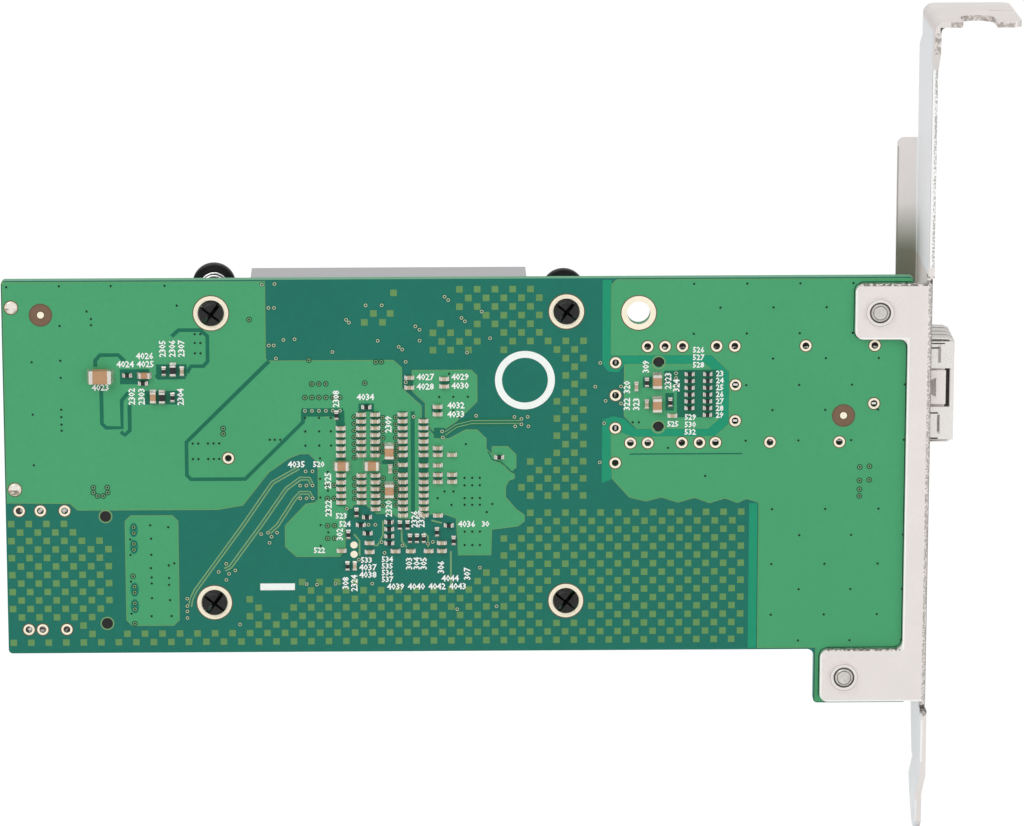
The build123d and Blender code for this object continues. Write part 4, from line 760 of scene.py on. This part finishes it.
dots += [(8.3, z) for z in (54.4, 48.6, 43.5, 41.0, 36.3, 35.2, 34.1, 33.2)]
dots += [(17.9, z) for z in (17.0, 14.7, 10.7, 5.9)]
dots += [(x, z) for x in (27.1, 27.9, 29.3, 30.1, 30.9) for z in (31.2, 28.9)]
dots += [(x, z) for x in (27.6, 28.4) for z in (47.3, 46.0, 44.5)]
dots += [(99.1 + 7.6 * i, z) for i in range(5) for z in (54.3, 47.0, 31.2, 39.4) if i or z > 45]
dots += [(102.9 + 7.6 * i, z) for i in range(4) for z in (50.8, 43.3, 35.7) if i or z > 45]
dots += [(110.6 + 7.7 * i, z) for i in range(3) for z in (21.0, 12.8, 5.2)]
dots += [(114.6 + 7.5 * i, z) for i in range(3) for z in (17.1, 9.0, 1.3)]
dots += [(x, z) for x in (43.3, 45.3, 47.0) for z in (34.9, 32.9, 30.8)]
dots += [(45.4 + i % 2 * 1.1, z)
         for i, z in enumerate((28.9, 26.9, 25.9, 24.1, 23.1, 21.0, 19.0, 17.9, 15.9))]
dots += [(x, z) for x in (66.2, 67.3, 68.4) for z in (25.9, 24.8, 22.9, 21.9, 17.9, 15.9)]
dots += [(63.3, 23.9), (64.6, 23.9), (62.3, 22.9), (64.3, 21.9)]
dots += [(65.4, 34.9), (66.4, 30.9), (70.2, 22.0), (69.4, 20.8)]
bm = bmesh.new()
for n, (x, z) in enumerate(ringed):
    disc(bm, x, z, r=0.42, thick=WELL + n % 5 * STEP, sides=18)
for n, (x, z) in enumerate(pale):
    disc(bm, x, z, r=0.34, thick=PALE_WELL + n % 5 * STEP, sides=16)
keep("via_clearings", bm, mask_well)

bm = bmesh.new()
for z in VIA_PAIRS_Z:
    disc(bm, VIA_PAIRS_X, z, r=0.62, thick=OUTLINE, stretch=1.75, sides=20)
keep("via_moats", bm, mask_pocket)

bm = bmesh.new()
for x, z in ringed:
    disc(bm, x, z, r=0.27, thick=PAD)
keep("via_pads_green", bm, mask_trace)

bm = bmesh.new()
for n, (x, z) in enumerate(pale):
    disc(bm, x, z, r=0.26, thick=PAD + n % 5 * STEP)
keep("via_pads_pale", bm, mask_ring)

bm = bmesh.new()
for x, z in ringed + pale:
    disc(bm, x, z, r=0.15, thick=VIA_MOUTH, sides=10)
for x, z in dots:
    disc(bm, x, z, r=0.17, thick=DOT, sides=10)
keep("via_holes", bm, mask_hole)


# Camera targets and test lands

test_lands = [(50.2, 16.0), (50.2, 14.6)]
bm = bmesh.new()
for x, z in TARGETS:
    disc(bm, x, z, r=1.55, thick=CLEARING, sides=32)
keep("target_clearings", bm, bare_copper)

bm = bmesh.new()
for x, z in TARGETS:
    disc(bm, x, z, r=0.5, thick=LAND, sides=24)
for x, z in test_lands:
    disc(bm, x, z, r=0.52, thick=LAND, sides=24)
for x, z in LOCKS:
    ring(bm, x, z, r_out=0.92, r_in=0.64, thick=LOCK_RING)
keep("target_lands", bm, gold_flash)


# Brown outlines of the plating, pale rims of the peg holes and painted shade inside the pin holes

bm = bmesh.new()
for x, z, r in plated:
    ring(bm, x, z, r_out=r + 0.14, r_in=r - 0.05, thick=PLATING_OUTLINE, sides=40)
for x, z in TARGETS:
    ring(bm, x, z, r_out=1.68, r_in=1.5, thick=OUTLINE, sides=40)
    ring(bm, x, z, r_out=0.64, r_in=0.45, thick=OUTLINE)
for x, z in LOCKS:
    ring(bm, x, z, r_out=1.06, r_in=0.9, thick=OUTLINE)
keep("ring_edges", bm, ring_brown)

bm = bmesh.new()
for x, z in PEGS:
    ring(bm, x, z, r_out=1.0, r_in=0.81, thick=PEG_RIM)
keep("peg_rims", bm, mask_trace)

bm = bmesh.new()
for x, z in pin_holes:
    disc(bm, x, z, r=0.49, thick=-0.55, sunk=0.65)
keep("hole_shadows", bm, painted_shade)


# Printed marks: plain running numbers beside the parts, a bare ring and a bare bar.
# Each list holds the middles of one run of numbers. The digit 1 is left out, as it prints like a letter.

upright = [
    (18.5, 38.2), (19.9, 38.2), (25.5, 38.1), (23.0, 45.2), (24.4, 45.2), (25.7, 45.2), (47.8, 37.7),
    (55.3, 33.9), (55.3, 21.4), (46.6, 21.5), (95.5, 40.1), (50.25, 10.3), (46.55, 25.6), (59.0, 19.8),
    (60.0, 19.8),
]
upright_short = [
    (48.2, 17.6), (58.2, 13.2), (59.3, 13.2), (60.3, 13.2), (62.8, 12.6), (66.6, 11.6), (49.0, 10.3),
    (92.3, 42.2), (89.6, 39.2), (89.6, 36.7), (90.95, 36.7), (96.7, 39.4),
]
level = [
    (14.0, 39.5), (17.6, 42.9), (20.5, 42.9), (20.4, 44.1), (60.6, 40.8), (60.6, 39.4), (65.6, 40.8),
    (65.6, 39.5), (65.0, 36.6), (65.0, 35.3), (52.0, 37.9), (42.0, 28.0), (66.5, 19.0), (52.2, 12.6),
    (52.2, 11.5), (56.2, 9.7), (59.2, 9.7), (62.2, 9.7), (65.2, 9.7), (64.1, 10.9),
]
level_short = [
    (45.2, 28.0), (45.2, 15.2), (48.4, 20.3), (48.9, 19.1), (96.2, 33.7), (99.8, 44.6), (99.8, 43.5),
    (99.8, 42.4), (98.7, 34.7), (98.7, 33.6), (98.7, 32.5), (52.0, 13.7), (55.0, 13.8), (55.0, 12.8),
    (55.0, 11.8), (55.0, 10.8),
]
level_pair = [(102.9, 41.1 - 1.02 * i) for i in range(7)] + [(69.2, 19.0)]


def print_number(bm, words, x, z, tall, turned):
    """One printed number, centred on a place."""
    text = bpy.data.curves.new("print", "FONT")
    text.body = words
    text.size = tall
    text.align_x = "CENTER"
    text.align_y = "CENTER"
    text.resolution_u = 1
    text.extrude = 0.005
    text.offset = 0.03
    text.space_character = 0.95
    mesh = as_mesh(text)
    spin = Matrix.Rotation(math.pi / 2 if turned else 0, 4, "Z")
    mesh.transform(Matrix.Translation((x, -PRINT, z)) @ Matrix.Rotation(math.pi / 2, 4, "X") @ spin)
    bm.from_mesh(mesh)


runs = [
    (upright, True, 2302, 1.3), (upright_short, True, 302, 1.3),
    (level, False, 4023, 1.3), (level_short, False, 520, 1.16), (level_pair, False, 23, 1.16),
]
bm = bmesh.new()
for places, turned, first, tall in runs:
    numbers = [str(n) for n in range(first, first + 200) if "1" not in str(n)]
    for words, (x, z) in zip(numbers, places):
        print_number(bm, words, x, z, tall, turned)
ring(bm, *WHITE_RING, r_out=4.3, r_in=3.3, thick=MARK, sides=64)
tile(bm, *WHITE_BAR, wide=5.0, high=1.0, thick=MARK)
keep("printed_marks", bm, print_white)


# Metal ends and solder of the chip parts

# A cap takes a share of its chip's length; a skin is what sleeve, metal or solder adds to the chip's width
LONG_CHIP = 2.5
CAP_SHARE = 0.2
LONG_CAP_SHARE = 0.17
SHORT_CHIP = 1.3
SLEEVE_SKIN = 0.02
CAP_SKIN = 0.03
SOLDER_SKIN = 0.12


def block(bm, run, middle, long, deep, wide):
    """A block whose length lies along x (run 0) or z (run 2); gives its corners back."""
    span = [wide, deep, wide]
    span[run] = long
    place = Matrix.Translation(middle) @ Matrix.Diagonal((*span, 1))
    return bmesh.ops.create_cube(bm, size=1.0, matrix=place)["verts"]


def metal_end(bm, run, middle, size, side):
    """The plated cap on one end of a chip part, with its outer edges taken off."""
    cap = (CAP_SHARE if size[run] < LONG_CHIP else LONG_CAP_SHARE) * size[run]
    proud = 0.02
    spot = list(middle)
    spot[run] += side * (size[run] / 2 - (cap - proud) / 2)
    verts = block(bm, run, spot, cap + proud, size[1] + CAP_SKIN, size[2 - run] + CAP_SKIN)
    far = [e for e in {e for v in verts for e in v.link_edges}
           if all((v.co[run] - spot[run]) * side > 0 for v in e.verts)]
    bmesh.ops.bevel(bm, geom=far, offset=0.06, segments=1, profile=0.5, affect="EDGES", material=-1)


def solder_foot(bm, run, middle, size, side, away):
    """The sloping solder at one end of a chip part; away is the way from the board to the part, along y."""
    reach = 0.16 + 0.08 * size[run]
    climb = size[1] * 0.62
    toe = 0.1
    under = 0.04
    into_the_part = 0.03
    base = middle[1] - away * (size[1] / 2 + under)
    spot = list(middle)
    spot[run] += side * (size[run] / 2 + reach / 2 - into_the_part)
    spot[1] = base + away * climb / 2
    for v in block(bm, run, spot, reach, climb, size[2 - run] + SOLDER_SKIN):
        if (v.co[run] - spot[run]) * side > 0 and (v.co[1] - spot[1]) * away > 0:
            v.co[1] = base + away * toe


ends = bmesh.new()
fillets = bmesh.new()
sleeves = bmesh.new()
for name in ("ceramic_capacitors", "chip_resistors"):
    for low, high in bodies_of(name):
        size = [high[k] - low[k] for k in range(3)]
        middle = [(high[k] + low[k]) / 2 for k in range(3)]
        run = 0 if size[0] > size[2] else 2
        if size[run] < SHORT_CHIP and name == "ceramic_capacitors":
            block(sleeves, run, middle, size[run] - 0.2, size[1] + SLEEVE_SKIN, size[2 - run] + SLEEVE_SKIN)
        for side in (-1, 1):
            metal_end(ends, run, middle, size, side)
            solder_foot(fillets, run, middle, size, side, -1 if middle[1] < 0 else 1)
keep("chip_sleeves", sleeves, pale_ceramic)
keep("chip_ends", ends, solder_bright)
keep("chip_solder", fillets, solder_bright)


# Painted shade: dark sheets in the slot behind the cage's latch tongue and in the joints of the collar,
# drawn just under their faces

collar_joints = [  # middle in x and z, width, height
    (133.95, 44.35, 1.2, 0.2), (134.4, 45.0, 1.9, 0.16), (133.95, 34.75, 1.2, 0.2),
    (133.9, 31.0, 1.3, 0.2),
]
bm = bmesh.new()
tile(bm, 135.85, 38.5, wide=0.8, high=6.0, thick=-2.25, sunk=2.4)
for x, z, wide, high in collar_joints:
    tile(bm, x, z, wide, high, thick=-1.66, sunk=1.72)
keep("port_shadows", bm, painted_shade)


# Outlines of the screws and of their bosses, and the shadow round the flange

BOSS_TOP = 1.38
bm = bmesh.new()
for x, z in SCREWS:
    ring(bm, x, z, r_out=1.52, r_in=1.28, thick=1.44, sunk=-BOSS_TOP, sides=40)
    ring(bm, x, z, r_out=1.04, r_in=0.94, thick=1.575, sunk=-1.54, sides=24)
keep("screw_edges", bm, screw_grey)

bm = bmesh.new()
for x, z in SCREWS:
    ring(bm, x, z, r_out=2.0, r_in=1.93, thick=1.42, sunk=-BOSS_TOP, sides=40)
keep("boss_edges", bm, boss_grey)

# Painted shadow: a dark line round the flange's outline, in the colour of the via holes
flange_outline = [
    (130.3, 54.45), (123.2, 54.45), (122.3, 54.0), (122.05, 53.2), (122.05, 47.2), (122.4, 46.4),
    (123.2, 46.05), (128.9, 46.05), (129.5, 45.6), (129.65, 45.0), (129.65, 1.4), (129.4, 0.6),
    (128.7, 0.25), (119.0, 0.25), (118.0, -0.1), (117.65, -1.0), (117.65, -7.0),
]
bm = bmesh.new()
tracks(bm, [flange_outline], wide=0.22, thick=MARK)
keep("flange_shadow", bm, mask_hole)


# Floor, light and camera

# The floor glows a little for the camera alone, and the sky is dimmer on the card than behind it
FLOOR_GLOW = 1.08
FLOOR_GLOW_SHARE = 0.86
SKY_ON_THE_CARD = 0.62
SKY_TO_THE_CAMERA = 1.0


def pale_floor():
    """A plain floor that reads as white to the camera and keeps a soft shadow."""
    mat = bpy.data.materials.new("pale_floor")
    mat.use_nodes = True
    tree = mat.node_tree
    tree.nodes.clear()
    out = tree.nodes.new("ShaderNodeOutputMaterial")
    matt = tree.nodes.new("ShaderNodeBsdfDiffuse")
    matt.inputs["Color"].default_value = (0.8, 0.8, 0.8, 1)
    white = tree.nodes.new("ShaderNodeEmission")
    white.inputs["Color"].default_value = (1, 1, 1, 1)
    white.inputs["Strength"].default_value = FLOOR_GLOW
    path = tree.nodes.new("ShaderNodeLightPath")
    share = tree.nodes.new("ShaderNodeMath")
    share.operation = "MULTIPLY"
    share.inputs[1].default_value = FLOOR_GLOW_SHARE
    mix = tree.nodes.new("ShaderNodeMixShader")
    tree.links.new(path.outputs["Is Camera Ray"], share.inputs[0])
    tree.links.new(share.outputs[0], mix.inputs[0])
    tree.links.new(matt.outputs[0], mix.inputs[1])
    tree.links.new(white.outputs[0], mix.inputs[2])
    tree.links.new(mix.outputs[0], out.inputs["Surface"])
    return mat


bpy.ops.mesh.primitive_plane_add(size=12, location=(0, 0, min(corner[2] for corner in size_before)))
floor = bpy.context.object
floor.name = "floor"
floor.data.materials.append(pale_floor())

world = bpy.data.worlds.new("studio")
scene.world = world
world.use_nodes = True
tree = world.node_tree
sky = tree.nodes["Background"]
sky.inputs["Color"].default_value = (1, 1, 1, 1)
path = tree.nodes.new("ShaderNodeLightPath")
brightness = tree.nodes.new("ShaderNodeMapRange")
brightness.inputs["To Min"].default_value = SKY_ON_THE_CARD
brightness.inputs["To Max"].default_value = SKY_TO_THE_CAMERA
tree.links.new(path.outputs["Is Camera Ray"], brightness.inputs["Value"])
tree.links.new(brightness.outputs["Result"], sky.inputs["Strength"])


def lamp(name, place, aim, wide, high, power):
    """A large soft light."""
    data = bpy.data.lights.new(name, "AREA")
    data.shape = "RECTANGLE"
    data.size = wide
    data.size_y = high
    data.energy = power
    ob = bpy.data.objects.new(name, data)
    scene.collection.objects.link(ob)
    ob.location = place
    ob.rotation_euler = (Vector(aim) - Vector(place)).to_track_quat("-Z", "Y").to_euler()


centre = (-0.07, 0.0, -0.065)
lamp("key", (-0.55, -0.75, 0.75), centre, wide=0.7, high=0.7, power=5.5)
lamp("fill", (0.75, -0.8, 0.25), centre, wide=0.7, high=0.7, power=2.2)
lamp("top", (-0.05, 0.25, 0.9), centre, wide=0.8, high=0.6, power=3.5)

# The camera's place in board millimetres, its turn, and in pixels its focal length and the foot of its axis
EYE = (56.03, -731.4, 207.28)
YAW, PITCH_DOWN, ROLL = math.radians(0.6), math.radians(13.04), math.radians(-0.16)
FOCAL = 5227
AXIS = (446.9, 397.0)
PICTURE = (1024, 826)
SENSOR = 36

ahead = Vector((math.sin(YAW) * math.cos(PITCH_DOWN), math.cos(YAW) * math.cos(PITCH_DOWN),
                -math.sin(PITCH_DOWN)))
level_right = Vector((math.cos(YAW), -math.sin(YAW), 0))
level_up = level_right.cross(ahead)
right = level_right * math.cos(ROLL) + level_up * math.sin(ROLL)
up = level_up * math.cos(ROLL) - level_right * math.sin(ROLL)
eye = PLACE @ Vector(EYE)
cam_data = bpy.data.cameras.new("camera")
cam_data.sensor_width = SENSOR
cam_data.lens = FOCAL / PICTURE[0] * SENSOR
cam_data.shift_x = (PICTURE[0] / 2 - AXIS[0]) / PICTURE[0]
cam_data.shift_y = (AXIS[1] - PICTURE[1] / 2) / PICTURE[0]
cam_data.clip_start = 0.01
cam = bpy.data.objects.new("camera", cam_data)
scene.collection.objects.link(cam)
cam.matrix_world = Matrix((
    (right.x, up.x, -ahead.x, eye.x),
    (right.y, up.y, -ahead.y, eye.y),
    (right.z, up.z, -ahead.z, eye.z),
    (0, 0, 0, 1),
))
scene.camera = cam
scene.view_settings.view_transform = "Standard"
